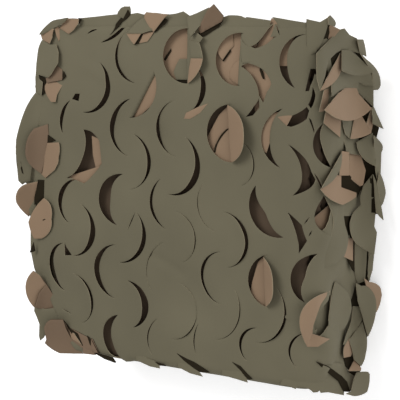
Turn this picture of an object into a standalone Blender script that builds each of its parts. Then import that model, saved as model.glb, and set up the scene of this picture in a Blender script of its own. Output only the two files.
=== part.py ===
"""Folded camouflage net: one sheet of two-sided cloth, die-cut in rows of round leaf shapes.

The sheet starts at the left of the face, crosses the face, wraps down the right side, runs back
under the packet and then goes back and forth inside it. The packet lies on its back.
Lengths are in metres, +X to the right of the face, +Y to its top, +Z out of the face.
"""

import bmesh
import bpy
import numpy as np
from mathutils import Vector
from mathutils.geometry import delaunay_2d_cdt

MM = 0.001

# packet
SHEET = 1.5 * MM
FACE_LEFT = -178 * MM
FACE_RIGHT = 162 * MM
HALF_HEIGHT = 183 * MM
FACE_Z = 122 * MM
TOP_RUN_Z = FACE_Z - SHEET / 2
LOW_RUN_Z = SHEET / 2

# outer wrap and the lips that turn in at its top and bottom ends
FRONT_ROLL = 28 * MM
BACK_ROLL = 18 * MM
FACE_GAP = 11 * MM
LIP_ROLL = 9 * MM
LIP_DROP = 12 * MM
LIP_START = HALF_HEIGHT - LIP_ROLL
FLAT_HALF = LIP_START + LIP_ROLL * np.pi / 2 + LIP_DROP
LIP_FADE_Z = (20 * MM, 45 * MM)
BACK_HALF = 176 * MM
INNER_HALF = 170 * MM

# inner layers
INNER_LAYERS = 14
FIRST_INNER_Z = 8.2 * MM
LAYER_STEP = (TOP_RUN_Z - FACE_GAP - FIRST_INNER_Z) / (INNER_LAYERS - 1)
WALL_CLEARANCE = 7 * MM
LEFT_END = -171 * MM
LEFT_WANDER = 4 * MM
WANDER_TURN = 1.7
RUN_STEPS = 5
BEND_STEPS = 5
CROSS_LINES = 5
WRAP_STEPS = (11, 4, 3, 4)
FACE_LINES = 11
LIP_TURNS = (0, 30, 60, 90)

# die-cut leaves: each is a disc with a free round edge, still joined along its chord
LEAF_RADIUS = 29.5
LEAF_HALF_ANGLE = 78.0
COLUMN_PITCH = 60.5 * MM
ROW_PITCH = 75 * MM
ROW_DRIFT = -7 * MM
FIRST_X = -46 * MM
FIRST_Y = 148 * MM
PAIR_SHIFT = (-5 * MM, -36 * MM)
PAIR_TURN = -8.0
ARC_STEPS = 8
CHORD_POINTS = 4
ROOT_POINTS = 4
MIDDLE_POINTS = 2
MIDDLE_DEPTH = 0.55
CUT_GAP = 1.5
LEFT_LIFT = -11.0
RIGHT_LIFT = 10.0
EASY_BEND = 16 * MM
TIGHT_BEND = 9.5 * MM
TIGHT_FROM = 60.0
TIGHT_ROWS = 3
STIFF_REACH = 10 * MM
EDGE_TOLERANCE = 0.02 * MM
SAME_POINT = 0.0001 * MM
TURN_SAMPLES = 40
TANGENT_STEP = 0.5 * MM
FADE_LENGTH = 31 * MM
POINT_CLEARANCE = 4 * MM

# leaves of the face that stand further open or are turned over: sizes in mm, lift in degrees
FACE_LEAVES = (
    # side, row, column, shift_x, shift_y, radius, gap, lift
    ("left", 0, 0, 2, 0, 29.5, 1.5, -6),
    ("left", 0, 1, 0, 0, 29.5, 5, -172),
    ("left", 0, 2, 0, 0, 29.5, 5, -172),
    ("left", 0, 3, 8, -6, 29.5, 6, -14),
    ("left", 1, -1, -5, 4, 29.5, 3, -14),
    ("left", 1, 0, 5, 0, 29.5, 1.5, -12),
    ("left", 1, 2, -1, 0, 29.5, 1.5, 158),
    ("left", 1, 3, -2, -3, 29.5, 5, -15),
    ("left", 1, 4, -10, -6, 25, 8, -16),
    ("left", 2, -1, -4, -12, 29.5, 3, -12),
    ("left", 2, 0, -7, -7, 29.5, 9, -16),
    ("left", 2, 2, -5, -3, 29.5, 1.5, -3),
    ("left", 2, 3, -5, 0, 29.5, 10, -15),
    ("left", 3, -1, -8, -7, 29.5, 4, -12),
    ("left", 3, 0, -7, -6, 29.5, 3, -11),
    ("left", 3, 1, 6, 0, 29.5, 1.5, -2),
    ("left", 3, 2, 4, 2, 29.5, 1.5, -5),
    ("left", 3, 3, -2, 4, 29.5, 2, 112),
    ("left", 3, 4, -18, 9, 26, 11, -16),
    ("left", 4, 0, 5, -8, 29.5, 8, -15),
    ("left", 4, 1, 5, -4, 29.5, 2, -8),
    ("left", 4, 2, 10, 3, 29.5, 1.5, -6),
    ("left", 4, 3, -8, 4, 29.5, 2, -10),
    ("right", 0, 0, 0, 4, 29.5, 1.5, -168),
    ("right", 0, 2, 0, 2, 29.5, 5, 12),
    ("right", 1, -1, -12, 0, 29.5, 6, 14),
    ("right", 1, 1, 0, 0, 29.5, 3, 13),
    ("right", 1, 3, -12, 0, 29.5, 12, 12),
    ("right", 2, -1, -5, 0, 29.5, 4, 12),
    ("right", 2, 0, -4, 0, 29.5, 3, 12),
    ("right", 2, 1, 0, 0, 29.5, 1.5, 3),
    ("right", 2, 3, 3, 16, 23, 5, 12),
    ("right", 2, 4, -6, 6, 28, 3, 22),
    ("right", 3, 0, 8, 6, 29.5, 6, 12),
    ("right", 3, 1, 4, 0, 29.5, 1.5, 2),
    ("right", 3, 2, -8, 8, 29.5, 1.5, 6),
    ("right", 3, 4, -4, 10, 29.5, 2, -160),
)
ROW_COLUMNS = ((0, 3), (-1, 4), (-1, 4), (-1, 4), (0, 3))
LOW_PAIR_ROW = 3

# leaves of the right side and of the two ends, in mm of flat sheet, and their direction in degrees
LOOSE_LEAVES = (
    # s, y, radius, half_angle, direction, gap, lift
    (398, 150, 23, 74, -90, 4, 34),
    (404, 88, 24, 88, 90, 2, 166),
    (414, 10, 20, 88, -90, 2, 32),
    (412, -60, 21, 88, 90, 2, 166),
    (408, -114, 23, 88, -90, 2, 28),
    (404, -156, 20, 86, -90, 2, 24),
    (94, 171, 20, 80, 90, 2, 8),
    (214, 171, 19, 84, 90, 2, 14),
    (345, 172, 20, 84, 90, 2, 10),
)

# leaves that stand out of the free left end of the sheet, in mm
LEFT_SCALLOPS = (
    # y, radius, reach
    (118, 20, 14),
    (52, 27, 24),
    (-14, 29, 30),
    (-84, 27, 22),
    (-142, 22, 18),
)
SCALLOP_STEPS = 8
SCALLOP_BASE = 8 * MM

# slow swells of the face, in mm
SWELLS = (
    # centre_x, centre_y, radius, height
    (5, -95, 34, -5.0),
    (-49, 52, 40, -2.0),
    (70, 60, 60, 2.5),
    (-120, -60, 60, 2.0),
    (110, -110, 45, 2.5),
    (-110, 130, 45, -2.5),
    (20, 150, 50, -1.5),
)
SIDE_BULGE = 11 * MM
BULGE_MIDDLE = 0.45
BULGE_FROM = 0.3
CORNER_TAPER = 0.24
TAPER_FROM = 30 * MM
EDGE_DROOP = 7 * MM
LEFT_DROOP = (45 * MM, 15 * MM)
END_DROOP = (50 * MM, 10 * MM)
END_DROOP_SHARE = 0.5
EDGE_WAVE = 7 * MM
EDGE_WAVE_LENGTH = 26 * MM

OLIVE = (0.178, 0.162, 0.107)
CLOTH_ROUGHNESS = 0.85


def smooth(value, start, end):
    """Ease from 0 at start to 1 at end."""
    t = np.clip((value - start) / (end - start), 0.0, 1.0)
    return t * t * (3 - 2 * t)


def layer_heights():
    """Centre heights of the inner layers, from the lowest up."""
    return FIRST_INNER_Z + LAYER_STEP * np.arange(INNER_LAYERS)


def right_limit(z):
    """Furthest right that a bend may reach at height z inside the wrap."""
    front = FRONT_ROLL - WALL_CLEARANCE
    back = BACK_ROLL - WALL_CLEARANCE
    above = max(0.0, z - (TOP_RUN_Z - FRONT_ROLL))
    below = max(0.0, LOW_RUN_Z + BACK_ROLL - z)
    inset_front = front - np.sqrt(max(0.0, front**2 - above**2))
    inset_back = back - np.sqrt(max(0.0, back**2 - below**2))
    return FACE_RIGHT - WALL_CLEARANCE - inset_front - inset_back


def fold_path():
    """Rows of (s, x, z, heading, curvature), one for each run and bend of the section."""
    rows = []
    state = [0.0, FACE_LEFT, TOP_RUN_Z, 0.0]

    def run(length):
        rows.append((*state, 0.0))
        state[0] += length
        state[1] += length * np.cos(state[3])
        state[2] += length * np.sin(state[3])

    def bend(radius, turn):
        curvature = np.sign(turn) / radius
        rows.append((*state, curvature))
        turned = state[3] + turn
        state[0] += radius * abs(turn)
        state[1] += (np.sin(turned) - np.sin(state[3])) / curvature
        state[2] += (np.cos(state[3]) - np.cos(turned)) / curvature
        state[3] = turned

    quarter = np.pi / 2
    run(FACE_RIGHT - FRONT_ROLL - FACE_LEFT)
    bend(FRONT_ROLL, -quarter)
    run(TOP_RUN_Z - FRONT_ROLL - BACK_ROLL - LOW_RUN_Z)
    bend(BACK_ROLL, -quarter)
    heights = layer_heights()
    radius = (heights[0] - LOW_RUN_Z) / 2
    run(state[1] - LEFT_END - radius)
    bend(radius, -2 * quarter)
    for layer in range(INNER_LAYERS):
        radius = LAYER_STEP / 2
        if layer % 2 == 0:
            end = right_limit(heights[layer] + LAYER_STEP) - radius
            run(end - state[1])
            bend(radius, 2 * quarter)
        else:
            end = LEFT_END + LEFT_WANDER * np.sin(WANDER_TURN * layer) + radius
            run(state[1] - end)
            if layer < INNER_LAYERS - 1:
                bend(radius, -2 * quarter)
    return np.array(rows), state[0]


PATH, PATH_LENGTH = fold_path()
WRAP_END = PATH[4, 0]


def section(s):
    """Point, heading and outward normal of the folded section at arc length s."""
    index = np.clip(np.searchsorted(PATH[:, 0], s, side="right") - 1, 0, len(PATH) - 1)
    start, x0, z0, heading, curvature = PATH[index].T
    along = s - start
    turned = heading + curvature * along
    bent = np.abs(curvature) > 0
    safe = np.where(bent, curvature, 1.0)
    x = x0 + np.where(bent, (np.sin(turned) - np.sin(heading)) / safe, along * np.cos(heading))
    z = z0 + np.where(bent, (np.cos(heading) - np.cos(turned)) / safe, along * np.sin(heading))
    return x, z, turned


def width_factor(s, lip):
    """Share of the flat half width that a run keeps: all of it where it has a lip, less inside."""
    inner = smooth(s, PATH[5, 0] - FADE_LENGTH, PATH[5, 0])
    plain = (BACK_HALF + inner * (INNER_HALF - BACK_HALF)) / FLAT_HALF
    return lip + (1 - lip) * plain


def swell(x, y):
    """Height of the slow waves of the face at x, y."""
    table = np.array(SWELLS) * MM
    dx = x[:, None] - table[:, 0]
    dy = y[:, None] - table[:, 1]
    humps = table[:, 3] * np.exp(-(dx**2 + dy**2) / table[:, 2] ** 2)
    at_left = smooth(-x, -FACE_LEFT - LEFT_DROOP[0], -FACE_LEFT + LEFT_DROOP[1])
    at_ends = smooth(np.abs(y), HALF_HEIGHT - END_DROOP[0], HALF_HEIGHT + END_DROOP[1])
    return humps.sum(axis=1) - EDGE_DROOP * (at_left + END_DROOP_SHARE * at_ends)


def place(s, y):
    """Point of the folded sheet for flat coordinates s, y."""
    x, z, heading = section(s)
    lip = smooth(z, *LIP_FADE_Z) * (s < WRAP_END)
    flat_y = y * width_factor(s, lip)
    past = np.maximum(0.0, np.abs(flat_y) - LIP_START)
    turn = np.minimum(past / LIP_ROLL, np.pi / 2)
    straight = np.maximum(0.0, past - LIP_ROLL * np.pi / 2)
    rolled = np.minimum(np.abs(flat_y), LIP_START) + LIP_ROLL * np.sin(turn)
    depth = lip * (LIP_ROLL * (1 - np.cos(turn)) + straight)
    out_y = np.sign(flat_y) * (np.abs(flat_y) * (1 - lip) + rolled * lip)
    x = x + depth * np.sin(heading)
    z = z - depth * np.cos(heading)
    share = z / FACE_Z
    taper = (1 - share) * smooth(x, TAPER_FROM, FACE_RIGHT) * smooth(out_y, 0, HALF_HEIGHT)
    bulge = np.cos(np.clip(out_y / HALF_HEIGHT, -1, 1) * np.pi / 2) - BULGE_MIDDLE
    left = smooth(-x, 0.0, -FACE_LEFT)
    out_x = x - SIDE_BULGE * bulge * left * smooth(share, 0.0, BULGE_FROM)
    out_z = z + share * swell(x, out_y)
    return np.stack([out_x, out_y * (1 - CORNER_TAPER * taper), out_z], axis=1)


def frame(s, y, back_s, back_y):
    """Point, the step that leads on from the direction back_s, back_y, sideways and the normal.

    The step keeps the local stretch of the cloth; the sideways direction and the normal are units.
    """
    point = place(s, y)
    ahead = (point - place(s - back_s * TANGENT_STEP, y - back_y * TANGENT_STEP)) / TANGENT_STEP
    across = point - place(s + back_y * TANGENT_STEP, y - back_s * TANGENT_STEP)
    normal = np.cross(ahead, across)
    normal /= np.linalg.norm(normal, axis=1)[:, None]
    sideways = np.cross(normal, ahead)
    sideways /= np.linalg.norm(sideways, axis=1)[:, None]
    return point, ahead, sideways, normal


def leaf_table():
    """Every die-cut leaf as (s, y, radius, half angle, direction, gap, lift) in SI units."""
    special = {(row[0], row[1], row[2]): row[3:] for row in FACE_LEAVES}
    leaves = []
    for side in ("left", "right"):
        for row, (first, last) in enumerate(ROW_COLUMNS):
            if side == "right" and row > LOW_PAIR_ROW:
                continue
            for column in range(first, last + 1):
                lift = LEFT_LIFT if side == "left" else RIGHT_LIFT
                plain = (0, 0, LEAF_RADIUS, CUT_GAP, lift)
                shift_x, shift_y, radius, gap, lift = special.get((side, row, column), plain)
                x = FIRST_X + COLUMN_PITCH * column + ROW_DRIFT * row + shift_x * MM
                y = FIRST_Y - ROW_PITCH * row + shift_y * MM
                direction = 180.0
                if side == "right":
                    x += PAIR_SHIFT[0]
                    y += PAIR_SHIFT[1]
                    direction = PAIR_TURN
                s = x - FACE_LEFT
                leaves.append((s, y, radius * MM, LEAF_HALF_ANGLE, direction, gap * MM, lift))
    for s, y, radius, half_angle, direction, gap, lift in LOOSE_LEAVES:
        leaves.append((s * MM, y * MM, radius * MM, half_angle, direction, gap * MM, lift))
    return leaves


def leaf_outline(leaf):
    """Cloth-side and leaf-side edges of one cut, meeting at both of its ends."""
    s, y, radius, half_angle, direction, gap, lift = leaf
    turn = np.radians(np.linspace(-half_angle, half_angle, ARC_STEPS + 1))
    angle = turn + np.radians(direction)
    opening = gap * np.cos(turn / np.radians(half_angle) * np.pi / 2)
    ray = np.stack([np.cos(angle), np.sin(angle)], axis=1)
    centre = np.array([s, y])
    return centre + ray * radius, centre + ray * (radius - opening)[:, None]


def inside(points, polygon):
    """True for the points inside a closed polygon."""
    x, y = points[:, :1], points[:, 1:]
    x0, y0 = polygon.T
    x1, y1 = np.roll(polygon, -1, axis=0).T
    crosses = (y0 > y) != (y1 > y)
    rise = np.where(y1 == y0, 1.0, y1 - y0)
    left = x < (x1 - x0) * (y - y0) / rise + x0
    return (crosses & left).sum(axis=1) % 2 == 1


def leaf_axes(leaf):
    """Chord centre, outward direction and chord direction of a leaf in the flat sheet."""
    s, y, radius, half_angle, direction, gap, lift = leaf
    angle = np.radians(direction)
    out = np.array([np.cos(angle), np.sin(angle)])
    chord = np.array([s, y]) + out * radius * np.cos(np.radians(half_angle))
    return chord, out, np.array([-out[1], out[0]])


def leaf_points(leaf):
    """Points inside the leaf, where it bends, the first CHORD_POINTS of them along its chord."""
    chord, out, along = leaf_axes(leaf)
    s, y, radius, half_angle, direction, gap, lift = leaf
    half_chord = radius * np.sin(np.radians(half_angle))
    height = radius * (1 - np.cos(np.radians(half_angle)))
    rows = [(0.0, CHORD_POINTS)]
    if abs(lift) > TIGHT_FROM:
        rows += [(TIGHT_BEND * part / TIGHT_ROWS, ROOT_POINTS) for part in range(1, TIGHT_ROWS + 1)]
    else:
        rows.append((MIDDLE_DEPTH * (height - gap), MIDDLE_POINTS))
    points = []
    for depth, count in rows:
        for k in range(count):
            across = half_chord * (2 * (k + 1) / (count + 1) - 1)
            points.append(chord + out * depth + along * across)
    return np.array(points)


def bent_leaf(points, leaf):
    """Place points of a leaf: its chord follows the cloth and it turns by the lift beyond it."""
    chord, out, along = leaf_axes(leaf)
    lift = np.radians(leaf[6])
    depth = (points - chord) @ out
    across = (points - chord) @ along
    reach = TIGHT_BEND if abs(leaf[6]) > TIGHT_FROM else EASY_BEND
    root = chord + across[:, None] * along
    stiff = root.copy()
    stiff[:, 1] = np.clip(root[:, 1], -LIP_START, LIP_START)
    blend = smooth(depth, 0.0, STIFF_REACH)[:, None]
    samples = (np.arange(TURN_SAMPLES) + 0.5) / TURN_SAMPLES
    turn = lift * smooth(samples * depth[:, None], 0.0, reach)
    forward = depth * np.cos(turn).mean(axis=1)
    upward = depth * np.sin(turn).mean(axis=1)
    places = []
    for base in (root, stiff):
        point, ahead, sideways, normal = frame(base[:, 0], base[:, 1], out[0], out[1])
        slip = ((root - base) @ along)[:, None]
        places.append(point + slip * sideways + forward[:, None] * ahead + upward[:, None] * normal)
    return places[0] * (1 - blend) + places[1] * blend


def scalloped_left_end():
    """Outline of the last run's free end, from its low end up, as extra length for each y."""
    points = []
    for y, radius, reach in sorted(LEFT_SCALLOPS):
        for k in range(SCALLOP_STEPS + 1):
            angle = np.pi * (k / SCALLOP_STEPS - 0.5)
            out = SCALLOP_BASE + reach * MM * np.cos(angle)
            points.append((out, (y + radius * np.sin(angle)) * MM))
    return np.array(points)


def wrap_mesh(mesh, leaves):
    """Triangulate the wrap in the flat sheet around all the cuts; return the flat corners."""
    cross = np.linspace(-FLAT_HALF, FLAT_HALF, CROSS_LINES)
    roll = PATH[1, 0]
    rows = zip(WRAP_STEPS, PATH[:4, 0], PATH[1:5, 0])
    s_lines = [start + (end - start) * k / steps for steps, start, end in rows for k in range(steps)]
    s_lines.append(WRAP_END)
    lip_lines = LIP_START + LIP_ROLL * np.radians(LIP_TURNS)
    inner_lines = np.linspace(-LIP_START, LIP_START, FACE_LINES + 2)[1:-1]
    y_lines = np.concatenate([-lip_lines[::-1], inner_lines, lip_lines])
    grid = np.array([(s, y) for s in s_lines[1:-1] for y in y_lines])
    edge = [(s, -FLAT_HALF) for s in s_lines]
    edge += [(s_lines[-1], y) for y in cross[1:]]
    edge += [(s, FLAT_HALF) for s in s_lines[-2::-1]]
    edge += [(-EDGE_WAVE * np.sin(y / EDGE_WAVE_LENGTH) ** 2, y) for y in y_lines[::-1]]
    corners = [np.array(edge)]
    loops = [(0, len(edge))]
    keep = np.ones(len(grid), bool)
    for leaf in leaves:
        cloth, blade = leaf_outline(leaf)
        loop = np.concatenate([cloth, blade[-2:0:-1]])
        loops.append((sum(len(c) for c in corners), len(loop)))
        corners.append(loop)
        near = np.linalg.norm(grid[:, None] - loop[None], axis=2).min(axis=1)
        chord, out, along = leaf_axes(leaf)
        held = (np.linalg.norm(grid - np.array(leaf[:2]), axis=1) < leaf[2]) & (
            (grid - chord) @ out > -POINT_CLEARANCE
        )
        keep &= (near > POINT_CLEARANCE) & ~inside(grid, loop) & ~held
    corners.append(grid[keep])
    edges = [(a + k, a + (k + 1) % n) for a, n in loops for k in range(n)]
    for (start, count), leaf in zip(loops[1:], leaves):
        first = sum(len(c) for c in corners)
        corners.append(leaf_points(leaf))
        chain = [start, *range(first, first + CHORD_POINTS), start + ARC_STEPS]
        edges += list(zip(chain[:-1], chain[1:]))
    flat = np.concatenate(corners)
    found = delaunay_2d_cdt([Vector(p) for p in flat], edges, [], 0, SAME_POINT)
    vertices = np.array([tuple(v) for v in found[0]])
    triangles = np.array([tuple(t) for t in found[2]])
    middle = vertices[triangles].mean(axis=1)
    gone = ~inside(middle, corners[0])
    for start, count in loops[1:]:
        gone |= inside(middle, flat[start : start + count])
    corners_3d = place(vertices[:, 0], vertices[:, 1])
    for leaf in leaves:
        chord, out, along = leaf_axes(leaf)
        reach = np.linalg.norm(vertices - np.array(leaf[:2]), axis=1)
        mine = (reach < leaf[2] - EDGE_TOLERANCE) & ((vertices - chord) @ out > EDGE_TOLERANCE)
        if mine.any():
            corners_3d[mine] = bent_leaf(vertices[mine], leaf)
    used = np.unique(triangles[~gone])
    made = {k: mesh.verts.new(corners_3d[k]) for k in used}
    for triangle in triangles[~gone]:
        mesh.faces.new([made[k] for k in triangle])
    last = [np.argmin(np.linalg.norm(vertices - (WRAP_END, y), axis=1)) for y in cross]
    return [made[k] for k in last], cross


def inner_mesh(mesh, seam, cross):
    """Quads for the back run, the bends and the inner layers, joined on at the seam."""
    stations = []
    for row in range(4, len(PATH)):
        start = PATH[row, 0]
        end = PATH[row + 1, 0] if row + 1 < len(PATH) else PATH_LENGTH
        steps = BEND_STEPS if PATH[row, 4] else RUN_STEPS
        stations += [start + (end - start) * k / steps for k in range(1, steps + 1)]
    before = seam
    for s in stations:
        points = place(np.full(len(cross), s), cross)
        line = [mesh.verts.new(p) for p in points]
        for k in range(len(cross) - 1):
            mesh.faces.new([before[k], line[k], line[k + 1], before[k + 1]])
        before = line
    return before


def end_leaves(mesh, last, cross):
    """Leaves that stand out of the free left end, as a scalloped strip beyond the last line."""
    outline = scalloped_left_end()
    tip = place(np.full(len(outline), PATH_LENGTH), outline[:, 1] * FLAT_HALF / INNER_HALF)
    tip[:, 0] -= outline[:, 0]
    row = [mesh.verts.new(p) for p in tip]
    inner = sorted(last, key=lambda v: v.co.y)
    chain = [inner[0], *row, inner[-1]]
    ring = chain + inner[-2:0:-1]
    flat = [Vector((v.co.x, v.co.y)) for v in ring]
    count = len(ring)
    rim = [(k, (k + 1) % count) for k in range(count)]
    found = delaunay_2d_cdt(flat, rim, [], 1, SAME_POINT)
    origin = found[3]
    for triangle in found[2]:
        corners = [ring[origin[k][0]] for k in triangle]
        mesh.faces.new(corners)


def net_sheet():
    """The whole net as one closed solid."""
    mesh = bmesh.new()
    seam, cross = wrap_mesh(mesh, leaf_table())
    last = inner_mesh(mesh, seam, cross)
    end_leaves(mesh, last, cross)
    bmesh.ops.recalc_face_normals(mesh, faces=mesh.faces)
    corners = np.array([v.co for v in mesh.verts])
    centre = (corners.min(axis=0) + corners.max(axis=0)) / 2
    bmesh.ops.translate(mesh, verts=mesh.verts, vec=(-centre[0], -centre[1], 0.0))
    data = bpy.data.meshes.new("net_sheet")
    mesh.to_mesh(data)
    mesh.free()
    obj = bpy.data.objects.new("net_sheet", data)
    bpy.context.scene.collection.objects.link(obj)
    solid = obj.modifiers.new("sheet", "SOLIDIFY")
    solid.thickness = SHEET
    solid.offset = 0.0
    return obj


def cloth_material():
    """Matte olive cloth."""
    material = bpy.data.materials.new("olive_cloth")
    material.use_nodes = True
    shader = material.node_tree.nodes["Principled BSDF"]
    shader.inputs["Base Color"].default_value = (*OLIVE, 1.0)
    shader.inputs["Roughness"].default_value = CLOTH_ROUGHNESS
    return material


def main():
    for old in list(bpy.data.objects):
        bpy.data.objects.remove(old)
    net = net_sheet()
    net.data.materials.append(cloth_material())


main()
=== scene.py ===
"""Looks of a folded camouflage net: thin two-sided cloth, die-cut into round leaves.

The net is one flat strip with coordinates s, along it, and y, across it. section() carries the strip along
its fold, place() adds the lips, the slow swells and the creases, and every leaf turns about its chord out of
that surface. Lengths are in metres, +X to the right of the face, +Y to its top, +Z out of the face.
"""
from collections import namedtuple

import bpy
import numpy as np
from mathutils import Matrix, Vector
from mathutils.geometry import delaunay_2d_cdt


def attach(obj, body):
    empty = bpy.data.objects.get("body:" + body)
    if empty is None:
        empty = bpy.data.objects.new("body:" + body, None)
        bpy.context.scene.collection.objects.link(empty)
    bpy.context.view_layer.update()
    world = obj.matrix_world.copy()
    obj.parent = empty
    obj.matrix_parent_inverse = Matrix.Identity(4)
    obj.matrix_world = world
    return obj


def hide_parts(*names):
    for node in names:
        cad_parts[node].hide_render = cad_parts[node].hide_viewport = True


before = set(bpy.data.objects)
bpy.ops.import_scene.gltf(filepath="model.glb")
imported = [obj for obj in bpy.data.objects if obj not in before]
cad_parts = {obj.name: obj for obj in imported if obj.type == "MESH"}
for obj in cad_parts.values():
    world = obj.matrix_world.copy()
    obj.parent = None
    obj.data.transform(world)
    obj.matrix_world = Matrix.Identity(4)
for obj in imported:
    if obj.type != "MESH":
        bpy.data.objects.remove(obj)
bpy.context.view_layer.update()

MM = 0.001
QUARTER_TURN = np.pi / 2

# ---- sizes of the packet

CLOTH = 0.7 * MM
FACE_LEFT = -178 * MM
FACE_RIGHT = 162 * MM
HALF_HEIGHT = 183 * MM
TOP_RUN_Z = 121.25 * MM
LOW_RUN_Z = 1.3 * MM
PACKET_SHIFT = (20.7 * MM, -2.7 * MM, 0.0)

FRONT_ROLL = 28 * MM
BACK_ROLL = 18 * MM
LIP_ROLL = 9 * MM
LIP_DROP = 12 * MM
LIP_START = HALF_HEIGHT - LIP_ROLL
FLAT_HALF = LIP_START + LIP_ROLL * QUARTER_TURN + LIP_DROP
LIP_FADE_Z = (20 * MM, 45 * MM)
BACK_HALF = 176 * MM
INNER_HALF = 181 * MM
WIDTH_FADE = 31 * MM

INNER_LAYERS = 20
FIRST_INNER_Z = 6.2 * MM
LAST_INNER_Z = 110.5 * MM
LAYER_UNEVENNESS = 0.7 * MM
UNEVEN_TURN = 2.1
WALL_CLEARANCE = 7 * MM
LEFT_END = -177 * MM
LEFT_WANDER = 4 * MM
WANDER_TURN = 1.7

# slow swells of the face, in mm
SWELLS = (
    # centre_x, centre_y, radius, height
    (5, -95, 34, -5.0),
    (-49, 52, 40, -2.0),
    (70, 60, 60, 2.5),
    (-120, -60, 60, 2.0),
    (110, -110, 45, 2.5),
    (-110, 130, 45, -2.5),
    (20, 150, 50, -1.5),
)
SIDE_BULGE = 11 * MM
BULGE_MIDDLE = 0.45
BULGE_FROM = 0.3
CORNER_TAPER = 0.24
TAPER_FROM = 30 * MM
EDGE_DROOP = 7 * MM
LEFT_DROOP = (45 * MM, 15 * MM)
END_DROOP = (50 * MM, 10 * MM)
END_DROOP_SHARE = 0.5
LOOSE_SIDE = 1.5 * MM
LOOSE_LENGTH = 37 * MM

# soft waves of the cloth: height in mm, waves per metre along and across, phase
RIPPLES = (
    (0.30, 11.0, 5.0, 0.4),
    (0.22, -7.0, 13.0, 2.0),
    (0.14, 23.0, 17.0, 4.1),
    (0.10, 31.0, -26.0, 1.2),
)
WALL_WAVES = (
    (2.2, 9.0, 8.0, 0.8),
    (1.5, -14.0, 15.0, 2.6),
)
LAYER_WAVES = (
    (1.6, 9.0, 0.0, 0.3),
    (1.1, 17.0, 0.0, 2.2),
)

# ---- the die-cut pattern

COLUMN_PITCH = 60.5 * MM
ROW_PITCH = 75 * MM
FIRST_S = 132 * MM
FIRST_Y = 148 * MM
PAIR_SHIFT = (-5 * MM, -36 * MM)
LEAF_RADIUS = 29.5 * MM
LEAF_HALF_ANGLE = 78.0
CHORD_REACH = 30 * MM

ARC_STEPS = 20
PLAIN_ARC_STEPS = 10
TURN_SAMPLES = 24
EASY_BEND = 16 * MM
TIGHT_BEND = 9.5 * MM
TIGHT_FROM = 60.0
STIFF_REACH = 10 * MM
TANGENT_STEP = 0.5 * MM
EDGE_TOLERANCE = 0.02 * MM
POINT_CLEARANCE = 1.6 * MM
SAME_POINT = 0.0001 * MM

ROW_DRIFT = -7 * MM
PAIR_TURN = -8.0
PLAIN_GAP = 1.5 * MM
CHORD_SPACING = 2.4 * MM
TIGHT_ROWS = 6
SLIT_STEPS = 10
ROW_SHARE = 0.866
FACE_SPACING = 4 * MM
INNER_SPACING = 9 * MM

# leaves of the face and of the front roll: sizes in mm, turns in degrees
FACE_LEAVES = (
    # s, y, radius, half_angle, direction, gap, lift, and the gap's skew where it has one
    (132, 149, 28.6, 79, -172, 2.5, -11, 0.8),
    (191, 149, 27.8, 97, -179, 2, -170),
    (251, 146, 26.0, 98, 178, 2, -172),
    (322, 144, 26.6, 80, 169, 9, -16, 0.4),
    (60, 78, 25.7, 49, 166, 5, -14),
    (130, 73, 31.8, 76, 177, 3.5, -12, -0.5),
    (185, 75, 30.0, 80, 180, 1, -14),
    (245, 73, 29.2, 95, -175, 1.5, 158),
    (308, 70, 30.5, 73, 178, 8.5, -16),
    (355, 66, 24.1, 76, -164, 11, -17),
    (59, -11, 26.2, 80, 166, 4.5, -13),
    (113, -4, 28.1, 86, 173, 14, -17),
    (177, -3, 30.4, 64, -174, 3, -10),
    (234, 0, 30.1, 58, -166, 0.8, -3),
    (294, 2, 30.5, 74, -149, 17, -17),
    (42, -85, 28.0, 80, 177, 6, -14),
    (107, -83, 30.3, 84, 177, 4.5, -13),
    (179, -79, 37.6, 52, 165, 0.6, -2),
    (234, -76, 27.8, 86, 179, 2.5, -9),
    (290, -73, 27.1, 84, -176, 1.5, 152),
    (335, -68, 25.2, 81, 165, 14, -17),
    (110, -158, 28.1, 92, -166, 10, -15, -0.3),
    (171, -154, 30.6, 46, 167, 1.5, -6),
    (236, -148, 38.0, 28, 174, 1.5, -4),
    (273, -143, 20.4, 75, 161, 3, -11),
    (329, -142, 20.7, 69, 164, 2.5, -10),
    (70, 116, 28.6, 84, -19, 5, 12),
    (122, 118, 34, 61, -32, 1.5, -168),
    (189, 117, 25.4, 67, -8, 6, 12),
    (46, 46, 30.8, 72, -21, 10, 14),
    (117, 38, 30.8, 78, -5, 3, 12, 0.6),
    (176, 38, 32.4, 84, -20, 5, 12),
    (246, 43, 24.3, 74, 4, 0.8, 3),
    (50, -40, 30.5, 78, -11, 4.5, 12),
    (110, -40, 32.2, 72, -22, 4, 12),
    (174, -39, 28.1, 76, 7, 0.8, 4),
    (234, -36, 28.9, 86, 5, 2, 15),
    (44, -119, 29.4, 76, 6, 1.5, 9),
    (117, -117, 26.2, 84, 6, 7, 13),
    (171, -118, 30.8, 84, -8, 0.8, 6),
    (219, -107, 35.8, 60, -22, 1, 5),
    (272, -104, 34.2, 70, -22, 1.5, 14),
)

# how far the left end of the face lies to the right of its mean line, in mm
LEFT_OUTLINE = (
    # y, shift
    (-200, 50),
    (-165, 30),
    (-150, 22),
    (-137, 16),
    (-111, 2),
    (-95, -10),
    (-72, -14),
    (-43, -12),
    (-22, -7),
    (-5, -7),
    (8, -19),
    (32, -23),
    (53, -24),
    (86, -18),
    (104, -3),
    (124, -5),
    (145, -2),
    (165, 3),
    (200, 14),
)

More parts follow.
